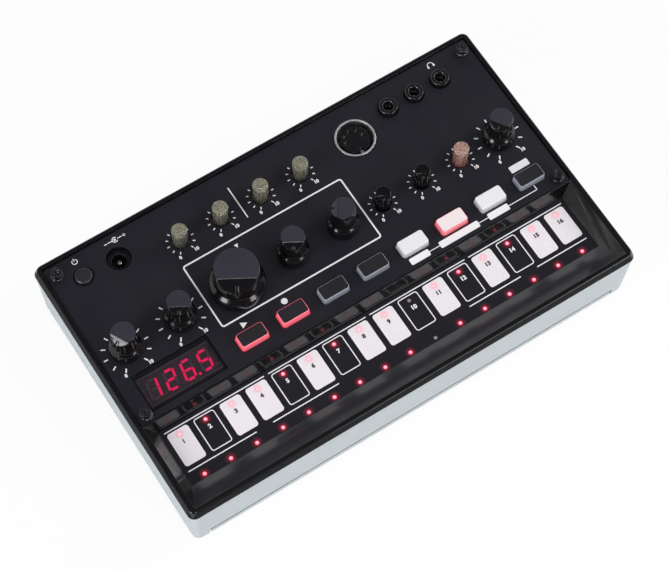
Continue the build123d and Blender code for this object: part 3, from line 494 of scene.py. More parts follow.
def stroke(points, width):
    """Outline of a line of even width along points."""
    left, right = [], []
    for index, point in enumerate(points):
        before = Vector(points[max(index - 1, 0)])
        after = Vector(points[min(index + 1, len(points) - 1)])
        along = (after - before).normalized()
        across = Vector((-along.y, along.x)) * width / 2
        left.append(tuple(Vector(point) + across))
        right.append(tuple(Vector(point) - across))
    return left + right[::-1]


def set_down(shape, x, y):
    """A shape given in millimetres, at a place."""
    return [(x + across * mm, y + along * mm) for across, along in shape]


def prism(work, outline, low):
    """Adds a closed print-thick prism over a flat outline to a bmesh."""
    face = work.faces.new([work.verts.new((x, y, low)) for x, y in outline])
    raised = bmesh.ops.extrude_face_region(work, geom=[face])
    tops = [item for item in raised["geom"] if isinstance(item, bmesh.types.BMVert)]
    bmesh.ops.translate(work, verts=tops, vec=(0, 0, ink_height))


def prism_ring(work, outer, inner, low):
    """Adds a closed print-thick ring between two outlines with as many points each."""
    high = low + ink_height
    loops = [[work.verts.new((x, y, z)) for x, y in outline] for outline, z in
             ((outer, low), (inner, low), (inner, high), (outer, high))]
    count = len(outer)
    for first, second in zip(loops, loops[1:] + loops[:1]):
        for index in range(count):
            after = (index + 1) % count
            work.faces.new((first[index], first[after], second[after], second[index]))


def print_piece(name, work, material, slot):
    """Makes a bmesh a piece of print, which stays with the panel and the film."""
    mesh = bpy.data.meshes.new(name)
    work.to_mesh(mesh)
    work.free()
    return carried(new_piece(name, mesh, material), "chassis", slot)


def printed(name, outlines, height, material, slot, rings=()):
    """Thin print: a closed prism for each outline and a closed ring for each pair of them."""
    work = bmesh.new()
    for outer, inner in rings:
        prism_ring(work, outer, inner, height)
    for outline in outlines:
        prism(work, outline, height)
    bmesh.ops.recalc_face_normals(work, faces=work.faces)
    return print_piece(name, work, material, slot)


def numbers(name, places, size, height, material, slot):
    """Printed numbers: each place is the text, x and y of its middle."""
    work = bmesh.new()
    for text, x, y in places:
        curve = bpy.data.curves.new(name, "FONT")
        curve.body = text
        curve.size = size * type_scale
        curve.align_x = "CENTER"
        curve.align_y = "CENTER"
        curve.extrude = ink_height / 2
        curve.resolution_u = type_steps
        curve.offset = type_weight * size
        letters = bpy.data.objects.new(name, curve)
        bpy.context.scene.collection.objects.link(letters)
        bpy.context.view_layer.update()
        mesh = bpy.data.meshes.new_from_object(letters)
        mesh.transform(Matrix.Translation((x, y, height + ink_height / 2)))
        work.from_mesh(mesh)
        bpy.data.objects.remove(letters)
        bpy.data.curves.remove(curve)
        bpy.data.meshes.remove(mesh)
    bmesh.ops.remove_doubles(work, verts=work.verts, dist=weld)
    return print_piece(name, work, material, slot)


def section_lines(settings, ink):
    """Line round the tone section and the upright line behind it."""
    width = settings.line_width
    inner_low = tuple(part + width for part in section_low)
    inner_high = tuple(part - width for part in section_high)
    loop = rounded_box(section_low, section_high, section_corner)
    inner = rounded_box(inner_low, inner_high, section_corner - width)
    upright = stroke(upright_line, width * thin_share)
    printed("section_lines", [upright], panel_top, ink, "panel_charcoal", [(loop, inner)])


def signs(ink):
    """Play, record, power, polarity and headphone signs, and the bare tags with the lines between them."""

    def dash(x, y, end_x, end_y):
        return stroke([(x, y), (end_x, end_y)], sign_line)

    play, record, last, power = (
        middle(f"{name}_button") for name in ("play", "record", "function", "power"))
    above, below = play.y + sign_rise, play.y - tag_drop
    pitch = middle("pitch_knob")
    spans = [(start * mm, end * mm) for start, end in tag_spans]
    outlines = [
        set_down(play_shape, play.x, above),
        disc((record.x, above), record_radius),
        rounded_box(*set_down(single_tag, last.x, above), tag_corner),
        set_down(pitch_shape, pitch.x, pitch.y),
    ]
    outlines += [rounded_box((start, below - tag_half), (end, below + tag_half), tag_corner)
                 for start, end in spans]
    outlines.append(dash(spans[-1][1], below, last.x, below))
    outlines.append(dash(last.x, below - sign_line / 2, last.x, below + tag_hook))
    outlines += [dash(left[1], below, right[0], below) for left, right in zip(spans, spans[1:])]
    outlines.append(stroke(arc((power.x, sign_row), ring_radius, *power_arc, ring_steps), sign_line))
    outlines.append(dash(power.x, sign_row + power_bar[0], power.x, sign_row + power_bar[1]))
    inlet = middle("dc_jack").x + inlet_shift
    outlines.append(disc((inlet, sign_row), dot_radius))
    outlines.append(stroke(arc((inlet, sign_row), ring_radius, *inlet_arc, ring_steps), sign_line))
    for side in (-1, 1):
        pole = inlet + side * pole_reach
        outlines.append(dash(inlet + side * pole_line[0], sign_row, pole - side * pole_line[1], sign_row))
        outlines.append(dash(pole - pole_half, sign_row, pole + pole_half, sign_row))
    plus = inlet + pole_reach
    outlines.append(dash(plus, sign_row - pole_half, plus, sign_row + pole_half))
    ear_bow = arc((ear_place, sign_row - ear_drop), ear_radius, *ear_arc, ear_steps)
    outlines.append(stroke(ear_bow, sign_line))
    outlines += [rounded_box(*set_down(ear_pad, ear_place + side * ear_radius, sign_row), ear_corner)
                 for side in (-1, 1)]
    printed("panel_signs", outlines, panel_top, ink, "panel_charcoal")


def dial_numbers(settings, ink):
    """Plain numbers at both ends of the dials' marks."""
    half = settings.tick_sweep / 2
    places = []
    for name in marked_dials + small_dials:
        spot = middle(f"{name}_knob")
        radius = big_number_radius if name in marked_dials else small_number_radius
        places += [(text, spot.x + side * radius * math.sin(half), spot.y + radius * math.cos(half))
                   for text, side in (("0", -1), ("10", 1))]
    numbers("dial_numbers", places, settings.number_height * dial_number_share, panel_top, ink,
            "panel_charcoal")


def key_lines(settings, ink, lamps):
    """Lines over and under the groups of keys."""
    reach = group_line_share * (lamps[1].x - lamps[0].x)
    back, front = lamps[0].y + back_line, lamps[0].y - front_line
    spans = [(lamps[first].x - reach, lamps[first + keys_in_group - 1].x + reach, back)
             for first in range(0, key_count, keys_in_group)]
    spans += [(start * mm, end * mm, front) for start, end in front_spans]
    outlines = [stroke([(start, y), (end, y)], settings.line_width * thin_share) for start, end, y in spans]
    printed("tray_lines", outlines, film_top, ink, "film_black")


# Display


def lit_segments(material):
    """Copy of the display's bars that marks which of them are lit."""
    mesh = merged_copy("display_segments")
    low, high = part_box("display_segments")
    centre = middle("display_module")
    work = bmesh.new()
    work.from_mesh(mesh)
    lit = work.verts.layers.float.new("lit")
    near = work.verts.layers.float.new("near")
    digits = [character for character in shown_number if character != "."]
    pitch = (high.x - low.x) / len(digits)
    left = set(work.verts)
    while left:
        island = [left.pop()]
        for vert in island:
            for edge in vert.link_edges:
                other = edge.other_vert(vert)
                if other in left:
                    left.remove(other)
                    island.append(other)
        spot = sum((vert.co for vert in island), Vector()) / len(island)
        upright = (spot.x - centre.x - (spot.y - centre.y) * digit_lean) / pitch + len(digits) / 2
        digit = min(int(upright), len(digits) - 1)
        across = upright - digit - 0.5
        up = (spot.y - low.y) / (high.y - low.y)
        letter = segment_at(across, up, len(island))
        shines = letter in segment_letters[digits[digit]]
        if letter == "point":
            shines = round(upright) == shown_number.index(".")
        for vert in island:
            vert[lit] = float(shines)
            vert[near] = bar_glow
    work.to_mesh(mesh)
    work.free()
    return new_piece("digit_bars", mesh, material)


def segment_at(across, up, corners):
    """Letter of a bar by its place in its digit, or the point, which is the only round one."""
    if corners > bar_corners:
        return "point"
    if up > bar_top:
        return "a"
    if up < bar_bottom:
        return "d"
    if bar_middle[0] < up < bar_middle[1]:
        return "g"
    if up > bar_half:
        return "b" if across > 0 else "f"
    return "c" if across > 0 else "e"


# Nodes


def put(tree, kind, values=None, **settings):
    """Adds a node, with its sockets set or linked."""
    made = tree.nodes.new(kind)
    for name, value in settings.items():
        setattr(made, name, value)
    for socket, value in (values or {}).items():
        if isinstance(value, bpy.types.NodeSocket):
            tree.links.new(value, made.inputs[socket])
        else:
            made.inputs[socket].default_value = value
    return made


def worked(tree, operation, *terms):
    """Result of one math node."""
    return put(tree, "ShaderNodeMath", dict(enumerate(terms)), operation=operation).outputs[0]


def vectors(tree, operation, *terms):
    """Outputs of one vector math node."""
    return put(tree, "ShaderNodeVectorMath", dict(enumerate(terms)), operation=operation).outputs


def vector_of(tree, x=0.0, y=0.0, z=0.0):
    """Vector put together from its parts."""
    return put(tree, "ShaderNodeCombineXYZ", {"X": x, "Y": y, "Z": z}).outputs[0]


def parts_of(tree, vector):
    """A vector's X, Y and Z."""
    return put(tree, "ShaderNodeSeparateXYZ", {0: vector}).outputs


def between(tree, value, low, high, **settings):
    """Share of the way of a value between two ends, kept from 0 to 1."""
    return put(tree, "ShaderNodeMapRange", {"Value": value, "From Min": low, "From Max": high},
               **settings).outputs[0]


def object_place(tree):
    """Place of the shaded point in the object's own frame."""
    return put(tree, "ShaderNodeTexCoord").outputs["Object"]


def attribute(tree, name):
    """Outputs of an attribute that the mesh carries."""
    return put(tree, "ShaderNodeAttribute", attribute_name=name).outputs


def noise(tree, place, scale, detail, **values):
    """Level of a noise from 0 to 1."""
    given = {"Vector": place, "Scale": scale, "Detail": detail, **values}
    return put(tree, "ShaderNodeTexNoise", given).outputs["Fac"]


def mixed(tree, share, first, second):
    """Colour between two colours or sockets."""
    values = {0: share, 6: first, 7: second}
    for index in (6, 7):
        if not isinstance(values[index], bpy.types.NodeSocket):
            values[index] = (*values[index][:3], 1.0)
    return put(tree, "ShaderNodeMix", values, data_type="RGBA").outputs[2]


def scaled(colour, factor):
    """A lighter or darker shade of a colour."""
    return tuple(min(part * factor, 1.0) for part in colour[:3])


# Shader groups


def new_group(name, inputs, outputs):
    """Shader group with named value inputs and outputs."""
    tree = bpy.data.node_groups.new(name, "ShaderNodeTree")
    for label, default in inputs:
        socket = tree.interface.new_socket(label, in_out="INPUT", socket_type="NodeSocketFloat")
        socket.default_value = default
    for label in outputs:
        tree.interface.new_socket(label, in_out="OUTPUT", socket_type="NodeSocketFloat")
    return tree, tree.nodes.new("NodeGroupInput").outputs, tree.nodes.new("NodeGroupOutput").inputs


def grain_group(name):
    """Fine moulded grain and slow drift of tone."""
    tree, given, out = new_group(name, (("Grain Scale", 2500), ("Drift Scale", 30)), ("Height", "Tone"))
    place = object_place(tree)
    grain = noise(tree, place, given["Grain Scale"], detail=3.0)
    drift = noise(tree, place, given["Drift Scale"], detail=4.0)
    tree.links.new(grain, out["Height"])
    tree.links.new(worked(tree, "MULTIPLY", grain, drift), out["Tone"])
    return tree


def smudge_group(name):
    """Roughness in patches left by fingers and dust."""
    tree, given, out = new_group(name, (("Patch Scale", 45), ("Low", 0.3), ("High", 0.5)), ("Roughness",))
    patch = noise(tree, object_place(tree), given["Patch Scale"], detail=6.0, Roughness=0.6)
    level = put(tree, "ShaderNodeMapRange", {
        "Value": between(tree, patch, *patch_band), "To Min": given["Low"], "To Max": given["High"]})
    tree.links.new(level.outputs[0], out["Roughness"])
    return tree


def wear_group(name):
    """Broken rub marks along the rounded edges, which are a painted highlight where the amount is high."""
    tree, given, out = new_group(name, (("Amount", 0.5), ("Break Scale", 220)), ("Mask",))
    broken = noise(tree, object_place(tree), given["Break Scale"], detail=5.0)
    patch = between(tree, broken, *rub_band)
    kept = worked(tree, "MULTIPLY", patch, attribute(tree, "edge")["Fac"])
    tree.links.new(worked(tree, "MULTIPLY", kept, given["Amount"]), out["Mask"])
    return tree


def level_group(name):
    """Share of the way between two heights."""
    tree, given, out = new_group(name, (("Low", 0.0), ("High", 1.0)), ("Share",))
    height = parts_of(tree, object_place(tree))["Z"]
    tree.links.new(between(tree, height, given["Low"], given["High"]), out["Share"])
    return tree


def halo_group(name):
    """Light that a row of equal lamps throws round each of them, apart from the dark one."""
    tree, given, out = new_group(
        name, (("First", 0.0), ("Step", 1.0), ("Row", 0.0), ("Dark", 0.0), ("Reach", 1.0)), ("Mask",))
    spot = parts_of(tree, object_place(tree))
    along = worked(tree, "DIVIDE", worked(tree, "SUBTRACT", spot["X"], given["First"]), given["Step"])
    nearest = worked(tree, "ROUND", along)
    across = worked(tree, "MULTIPLY", worked(tree, "SUBTRACT", along, nearest), given["Step"])
    away = worked(tree, "SUBTRACT", spot["Y"], given["Row"])
    reach = vectors(tree, "LENGTH", vector_of(tree, across, away))["Value"]
    fall = worked(tree, "SUBTRACT", 1.0, worked(tree, "DIVIDE", reach, given["Reach"]))
    kept = worked(tree, "POWER", worked(tree, "MAXIMUM", fall, 0.0), 2.0)
    dark = worked(tree, "COMPARE", nearest, given["Dark"], 0.5)
    tree.links.new(worked(tree, "MULTIPLY", kept, worked(tree, "SUBTRACT", 1.0, dark)), out["Mask"])
    return tree


def use(tree, name, make, **values):
    """Places a group in a material with its own values; the group is made once."""
    made = put(tree, "ShaderNodeGroup")
    made.node_tree = bpy.data.node_groups.get(name) or make(name)
    for label, value in values.items():
        made.inputs[label.replace("_", " ")].default_value = value
    return made.outputs


def smudges(tree, rough):
    """Roughness between two ends, in patches."""
    return use(tree, "finger_smudges", smudge_group, Low=rough[0], High=rough[1])["Roughness"]


def height_share(tree, low, high):
    """Share of the way between two heights of the object."""
    return use(tree, "between_heights", level_group, Low=low, High=high)["Share"]


# Materials


def moulding(name, colour, rough, grain=2500.0, bump=0.05, drift=1.18, wear_and_glint=0.0, **constants):
    """Material with grain, drift of tone, smudges, and lightened edges: rub marks, which are a painted
    highlight at a high amount.
    """
    material = bpy.data.materials.new(name)
    material.use_nodes = True
    tree, shader = inner(material)
    grains = use(tree, "moulding_grain", grain_group, Grain_Scale=grain)
    tone = mixed(tree, grains["Tone"], scaled(colour, 1 / drift), scaled(colour, drift))
    # Lightened edges: rub marks, and where the amount is high a painted highlight
    if wear_and_glint:
        rub_and_glint = use(tree, "edge_wear_and_glint", wear_group, Amount=wear_and_glint)["Mask"]
        tone = mixed(tree, rub_and_glint, tone, scaled([part + worn_glint_lift for part in colour[:3]], worn_glint_gain))
    tree.links.new(tone, shader.inputs["Base Color"])
    tree.links.new(smudges(tree, rough), shader.inputs["Roughness"])
    relief = put(tree, "ShaderNodeBump",
                 {"Strength": bump, "Distance": bump_height, "Height": grains["Height"]})
    tree.links.new(relief.outputs["Normal"], shader.inputs["Normal"])
    for label, value in constants.items():
        shader.inputs[label.replace("_", " ")].default_value = value
    material.diffuse_color = (*colour[:3], 1.0)
    return material


def inner(material):
    """A material's tree and its shader."""
    return material.node_tree, material.node_tree.nodes["Principled BSDF"]


def lay_over(tree, shader, share, colour):
    """Lays a colour over the one that the shader has, by a share."""
    under = shader.inputs["Base Color"].links[0].from_socket
    tree.links.new(mixed(tree, share, under, colour), shader.inputs["Base Color"])


def cover_material(look):
    """Case grey with painted shade in the seam on top of the cover's lip."""
    material = moulding("cover_grey_grain", look.case, rough=(0.42, 0.56), grain=3200.0, bump=0.2,
                        drift=1.05)
    tree, shader = inner(material)
    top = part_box("battery_cover")[1].z
    # Painted shade: the top face of the cover's lip, inside the slot, is painted darker
    seam = height_share(tree, top - seam_shade_band[0], top - seam_shade_band[1])
    lay_over(tree, shader, seam, seam_painted_shade)
    return material


def frame_material(look):
    """Black with a polished coat that ends at the outer wall, and a painted reflection on the slope, whose
    faces are a shade lighter.
    """
    material = moulding("frame_gloss", look.frame, rough=(0.3, 0.4), grain=900.0, bump=0.004,
                        Specular_IOR_Level=0.1, Coat_Roughness=0.13)
    tree, shader = inner(material)
    spot = put(tree, "ShaderNodeTexCoord").outputs
    backward = parts_of(tree, spot["Normal"])["Y"]
    # Painted reflection: faces that lean towards the back are painted a lighter grey
    lay_over(tree, shader, between(tree, backward, *slope_reflection_band), look.slope)
    place = parts_of(tree, spot["Object"])
    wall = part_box("upper_frame")[1]
    across = worked(tree, "SUBTRACT", wall.x, worked(tree, "ABSOLUTE", place["X"]))
    along = worked(tree, "SUBTRACT", wall.y, worked(tree, "ABSOLUTE", place["Y"]))
    inward = worked(tree, "MINIMUM", across, along)
    tree.links.new(between(tree, inward, *wall_band), shader.inputs["Coat Weight"])
    return material


def knob_material(look):
    """Polished black with a satin top that is also painted lighter, a painted sheen."""
    material = moulding("knob_black", look.knob, rough=(0.14, 0.2), grain=2800.0, bump=0.01)
    tree, shader = inner(material)
    upward = parts_of(tree, put(tree, "ShaderNodeTexCoord").outputs["Normal"])["Z"]
    level = between(tree, upward, *top_band)
    glossy = shader.inputs["Roughness"].links[0].from_socket
    rough = put(tree, "ShaderNodeMix", {0: level, 2: glossy, 3: smudges(tree, satin_rough)}).outputs[0]
    tree.links.new(rough, shader.inputs["Roughness"])
    # Painted sheen: the upward faces are painted a lighter grey
    lay_over(tree, shader, level, look.knob_top)
    return material


def shaft_material(name, colour, shades, scatter, **constants):
    """Clear plastic shaft with painted shade at its foot and painted light at its top, flow streaks along
    it; also gives its height.
    """
    material = moulding(name, colour, rough=(0.08, 0.16), bump=0.01, Subsurface_Weight=0.25,
                        Subsurface_Radius=scatter, Coat_Weight=0.5, **constants)
    tree, shader = inner(material)
    lower, upper = (scaled(colour, shade) for shade in shades)
    long = put(tree, "ShaderNodeMapping", {"Vector": object_place(tree), "Scale": streak_scale}).outputs[0]
    flow = between(tree, noise(tree, long, 1.0, detail=3.0), *streak_band)
    rise = height_share(tree, panel_top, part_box("tempo_knob")[1].z)
    # Painted shade and light: the shaft is darker at its foot and lighter at its top
    light = mixed(tree, rise, lower, upper)
    dark = mixed(tree, rise, scaled(lower, streak_shades[0]), scaled(upper, streak_shades[1]))
    tree.links.new(mixed(tree, flow, dark, light), shader.inputs["Base Color"])
    return material, rise


def lit_shaft_material(look):
    """Clear shaft with a red light under it."""
    material, rise = shaft_material("shaft_lit", look.tempo, clear_painted_shades, clear_scatter,
                                    Emission_Strength=0.3)
    tree, shader = inner(material)
    glow = mixed(tree, rise, *(scaled(look.lit, shade) for shade in glow_shades))
    tree.links.new(glow, shader.inputs["Emission Color"])
    return material


def cap_material(name, top_colour, side_colour, light=None, strength=0.0):
    """Button cap: printed top face over translucent sides with painted shade at the foot and painted light
    at the top, lit where there is a light.
    """
    material = moulding(name, top_colour, rough=(0.34, 0.46), Emission_Strength=strength)
    tree, shader = inner(material)
    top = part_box("play_button")[1].z
    face = height_share(tree, top - cap_band[0], top - cap_band[1])
    rise = height_share(tree, panel_top, top)
    # Painted shade and light: the sides are darker at the foot and lighter at the top
    side = mixed(tree, rise, *(scaled(side_colour, shade) for shade in side_painted_shades))
    tree.links.new(mixed(tree, face, side, top_colour), shader.inputs["Base Color"])
    if light:
        tree.links.new(mixed(tree, face, light, no_light), shader.inputs["Emission Color"])
    return material


def lamp_material(name, core, rim, strength):
    """Clear red lens lit from behind where the piece's lit attribute says so."""
    material = moulding(name, rim, rough=(0.12, 0.25), bump=0.01, Emission_Strength=strength)
    tree, shader = inner(material)
    lit = attribute(tree, "lit")["Fac"]
    glow = mixed(tree, attribute(tree, "near")["Fac"], rim, core)
    tree.links.new(mixed(tree, lit, unlit_lens, rim), shader.inputs["Base Color"])
    tree.links.new(mixed(tree, lit, no_light, glow), shader.inputs["Emission Color"])
    return material


def film_material(look):
    """Glossy black film that the lamps light up round them."""
    material = moulding("film_gloss", srgb(35, 33, 39), rough=(0.12, 0.24), grain=1500.0, bump=0.01,
                        Emission_Strength=0.5)
    tree, shader = inner(material)
    masks = []
    for node in ("key_leds", "step_leds"):
        lamps = lamp_row(node)
        masks.append(use(tree, "lamp_halo", halo_group, First=lamps[0].x, Step=lamps[1].x - lamps[0].x,
                         Row=lamps[0].y, Dark=dark_lamp - 1.0, Reach=halo_reach)["Mask"])
    glow = mixed(tree, worked(tree, "ADD", *masks), no_light, look.lit)
    tree.links.new(glow, shader.inputs["Emission Color"])
    return material


def key_material(settings):
    """Pale key field with the pink that its light throws on it."""
    material = moulding("key_field_pale", settings.field, rough=(0.2, 0.34), bump=0.01, drift=1.03)
    tree, shader = inner(material)
    local = attribute(tree, "local")["Vector"]
    reach = vectors(tree, "DISTANCE", local, (0.0, lamp_to_key, 0.0))["Value"]
    away = between(tree, reach, *glow_band, interpolation_type="SMOOTHSTEP")
    tree.links.new(mixed(tree, away, settings.glow, settings.field), shader.inputs["Base Color"])
    return material


# Geometry Nodes


def new_tree(name, inputs):
    """Geometry tree with named inputs; returns it with its input sockets and its output socket."""
    tree = bpy.data.node_groups.new(name, "GeometryNodeTree")
    tree.is_modifier = True
    tree.interface.new_socket("Places", in_out="INPUT", socket_type="NodeSocketGeometry")
    for label, kind in inputs:
        tree.interface.new_socket(label, in_out="INPUT", socket_type=f"NodeSocket{kind}")
    tree.interface.new_socket("Geometry", in_out="OUTPUT", socket_type="NodeSocketGeometry")
    return tree, tree.nodes.new("NodeGroupInput").outputs, tree.nodes.new("NodeGroupOutput").inputs[0]


def joined(tree, *shapes):
    """Shapes joined into one."""
    join = put(tree, "GeometryNodeJoinGeometry")
    for shape in shapes:
        tree.links.new(shape, join.inputs[0])
    return join.outputs[0]


def noted(tree, shape, name, value, kind):
    """A shape that carries a value on each of its points."""
    return put(tree, "GeometryNodeStoreNamedAttribute", {"Geometry": shape, "Name": name, "Value": value},
               data_type=kind, domain="POINT").outputs[0]


def planted(tree, points, shape, material, target, **values):
    """Ends a tree: the shape at each point, as real geometry with its material."""
    placed = put(tree, "GeometryNodeInstanceOnPoints", {"Points": points, "Instance": shape, **values})
    real = put(tree, "GeometryNodeRealizeInstances", {"Geometry": placed.outputs[0]})
    dressed = put(tree, "GeometryNodeSetMaterial", {"Geometry": real.outputs[0], "Material": material})
    tree.links.new(dressed.outputs[0], target)


def tick_ring_tree():
    """Marks in an arc round a centre."""
    tree, given, target = new_tree("tick_ring", (
        ("Count", "Int"), ("Radius", "Float"), ("Length", "Float"), ("Width", "Float"),
        ("Thickness", "Float"), ("Sweep", "Float"), ("Centre", "Vector"), ("Ink", "Material")))
    index = put(tree, "GeometryNodeInputIndex").outputs[0]
    gaps = worked(tree, "SUBTRACT", given["Count"], 1.0)
    share = worked(tree, "SUBTRACT", worked(tree, "DIVIDE", index, gaps), 0.5)
    angle = worked(tree, "MULTIPLY", share, given["Sweep"])
    across = worked(tree, "MULTIPLY", worked(tree, "SINE", angle), given["Radius"])
    along = worked(tree, "MULTIPLY", worked(tree, "COSINE", angle), given["Radius"])
    spot = vectors(tree, "ADD", vector_of(tree, across, along), given["Centre"])["Vector"]
    points = put(tree, "GeometryNodePoints", {"Count": given["Count"], "Position": spot})
    size = vector_of(tree, given["Width"], given["Length"], given["Thickness"])
    tick = put(tree, "GeometryNodeMeshCube", {"Size": size})
    turn = vector_of(tree, z=worked(tree, "MULTIPLY", angle, -1.0))
    turned = put(tree, "FunctionNodeEulerToRotation", {"Euler": turn}).outputs[0]
    planted(tree, points.outputs[0], tick.outputs["Mesh"], given["Ink"], target, Rotation=turned)
    return tree


def key_field_tree():
    """A round-cornered plate at each place, or a frame of that outline where the line has a width."""
    tree, given, target = new_tree("key_field", (
        ("Width", "Float"), ("Depth", "Float"), ("Corner", "Float"), ("Line", "Float"),
        ("Thickness", "Float"), ("Ink", "Material")))
    outlines = []
    for lines in (0.0, 2.0):
        taken = worked(tree, "MULTIPLY", given["Line"], lines)
        width = worked(tree, "SUBTRACT", given["Width"], taken)
        depth = worked(tree, "SUBTRACT", given["Depth"], taken)
        corner = worked(tree, "SUBTRACT", given["Corner"], worked(tree, "MULTIPLY", taken, 0.5))
        box = put(tree, "GeometryNodeCurvePrimitiveQuadrilateral", {"Width": width, "Height": depth})
        rounded = put(tree, "GeometryNodeFilletCurve",
                      {"Curve": box.outputs[0], "Radius": corner, "Count": 6}, mode="POLY")
        outlines.append(rounded.outputs[0])
    hollow = put(tree, "FunctionNodeCompare", {0: given["Line"], 1: 0.0}, operation="GREATER_THAN")
    shape = put(tree, "GeometryNodeSwitch", {
        "Switch": hollow.outputs[0], "False": outlines[0], "True": joined(tree, *outlines)})
    flat = put(tree, "GeometryNodeFillCurve", {"Curve": shape.outputs[0]}, mode="TRIANGLES").outputs[0]
    local = put(tree, "GeometryNodeInputPosition").outputs[0]
    marked = noted(tree, flat, "local", local, "FLOAT_VECTOR")
    raised = put(tree, "GeometryNodeExtrudeMesh",
                 {"Mesh": marked, "Offset Scale": given["Thickness"], "Individual": False})
    under = put(tree, "GeometryNodeFlipFaces", {"Mesh": marked})
    closed = joined(tree, raised.outputs[0], under.outputs[0])
    whole = put(tree, "GeometryNodeMergeByDistance", {"Geometry": closed, "Distance": weld})
    planted(tree, given["Places"], whole.outputs[0], given["Ink"], target)
    return tree


def lamp_tree():
    """A domed lens at each place, marked by how near its axis a point is."""
    tree, given, target = new_tree("lamp_row", (
        ("Radius", "Float"), ("Rise", "Float"), ("Ink", "Material")))
    ball = put(tree, "GeometryNodeMeshUVSphere", {"Segments": 24, "Rings": 14, "Radius": given["Radius"]})
    local = put(tree, "GeometryNodeInputPosition").outputs[0]
    level = vectors(tree, "MULTIPLY", local, (1.0, 1.0, 0.0))["Vector"]
    reach = vectors(tree, "LENGTH", level)["Value"]
    near = worked(tree, "SUBTRACT", 1.0, worked(tree, "DIVIDE", reach, given["Radius"]))
    marked = noted(tree, ball.outputs["Mesh"], "near", near, "FLOAT")
    squash = vector_of(tree, 1.0, 1.0, worked(tree, "DIVIDE", given["Rise"], given["Radius"]))
    dome = put(tree, "GeometryNodeTransform", {"Geometry": marked, "Scale": squash})
    planted(tree, given["Places"], dome.outputs[0], given["Ink"], target)
    return tree


def grown(name, tree, places, attributes=None, **inputs):
    """A piece made by a tree on a cloud of places, as a plain mesh."""
    mesh = bpy.data.meshes.new(name)
    mesh.from_pydata([tuple(place) for place in places], [], [])
    for label, values in (attributes or {}).items():
        mesh.attributes.new(label, "FLOAT", "POINT").data.foreach_set("value", values)
    piece = new_piece(name, mesh)
    growth = piece.modifiers.new("growth", "NODES")
    growth.node_group = tree
    sockets = {item.name: item.identifier for item in tree.interface.items_tree if item.in_out == "INPUT"}
    for label, value in inputs.items():
        growth[sockets[label]] = value
    piece.update_tag()
    return plain(piece)


# Stage


def floor(settings):
    """Pale floor that keeps the object's shadow and shows white to the camera."""
    half = settings.floor / 2
    corners = [(-half, -half, 0), (half, -half, 0), (half, half, 0), (-half, half, 0)]
    mesh = bpy.data.meshes.new("floor")
    mesh.from_pydata(corners, [], [(0, 1, 2, 3)])
    material = bpy.data.materials.new("floor_white")
    material.use_nodes = True
    tree, shader = inner(material)
    shader.inputs["Base Color"].default_value = (floor_grey, floor_grey, floor_grey, 1.0)
    shader.inputs["Roughness"].default_value = floor_rough
    shader.inputs["Specular IOR Level"].default_value = 0.0
    white = put(tree, "ShaderNodeEmission", {"Color": (*full_white, 1.0), "Strength": 1.0})
    seen = put(tree, "ShaderNodeLightPath").outputs["Is Camera Ray"]
    share = worked(tree, "MULTIPLY", seen, floor_share)
    mix = put(tree, "ShaderNodeMixShader", {0: share, 1: shader.outputs[0], 2: white.outputs[0]})
    tree.links.new(mix.outputs[0], tree.nodes["Material Output"].inputs["Surface"])
    new_piece("floor", mesh, material)


def sky(scene):
    """White to the camera, an even fill as light, and in reflections white low behind and dim elsewhere."""
    world = bpy.data.worlds.new("studio")
    scene.world = world
    world.use_nodes = True
    tree = world.node_tree
    back = tree.nodes["Background"]
    way = parts_of(tree, put(tree, "ShaderNodeTexCoord").outputs["Generated"])
    wall = mixed(tree, between(tree, way["Y"], *wall_turn), sky_front, full_white)
    studio = mixed(tree, between(tree, way["Z"], *top_turn), wall, sky_top)
    path = put(tree, "ShaderNodeLightPath").outputs
    mirrored = worked(tree, "MAXIMUM", path["Is Glossy Ray"], path["Is Transmission Ray"])
    around = mixed(tree, mirrored, sky_fill, studio)
    tree.links.new(mixed(tree, path["Is Camera Ray"], around, full_white), back.inputs["Color"])
    back.inputs["Strength"].default_value = 1.0


def lights(scene):
    """Soft boxes to the left, the right and in front, one higher on the right and one overhead."""
    for name, place, size, power in soft_boxes:
        lamp = bpy.data.lights.new(name, "AREA")
        lamp.shape = "RECTANGLE"
        lamp.size, lamp.size_y = size
        lamp.energy = power
        holder = bpy.data.objects.new(name, lamp)
        holder.location = place
        holder.rotation_mode = "QUATERNION"
        holder.rotation_quaternion = (-Vector(place)).to_track_quat("-Z", "Y")
        scene.collection.objects.link(holder)


def camera(scene, settings):
    """Camera at the photograph's angle."""
    turn, rise, roll = settings.azimuth, settings.elevation, settings.roll
    back = Vector((math.sin(turn) * math.cos(rise), -math.cos(turn) * math.cos(rise), math.sin(rise)))
    level = Vector((math.cos(turn), math.sin(turn), 0))
    right = level * math.cos(roll) + back.cross(level) * math.sin(roll)
    up = back.cross(right)
    lens = bpy.data.cameras.new("camera")
    lens.lens = settings.lens
    lens.sensor_width = sensor_width
    lens.clip_start, lens.clip_end = camera_clip
    holder = bpy.data.objects.new("camera", lens)
    scene.collection.objects.link(holder)
    pose = Matrix((right, up, back)).transposed().to_4x4()
    pose.translation = camera_target + back * settings.distance
    holder.matrix_world = pose
    scene.camera = holder


# Operators


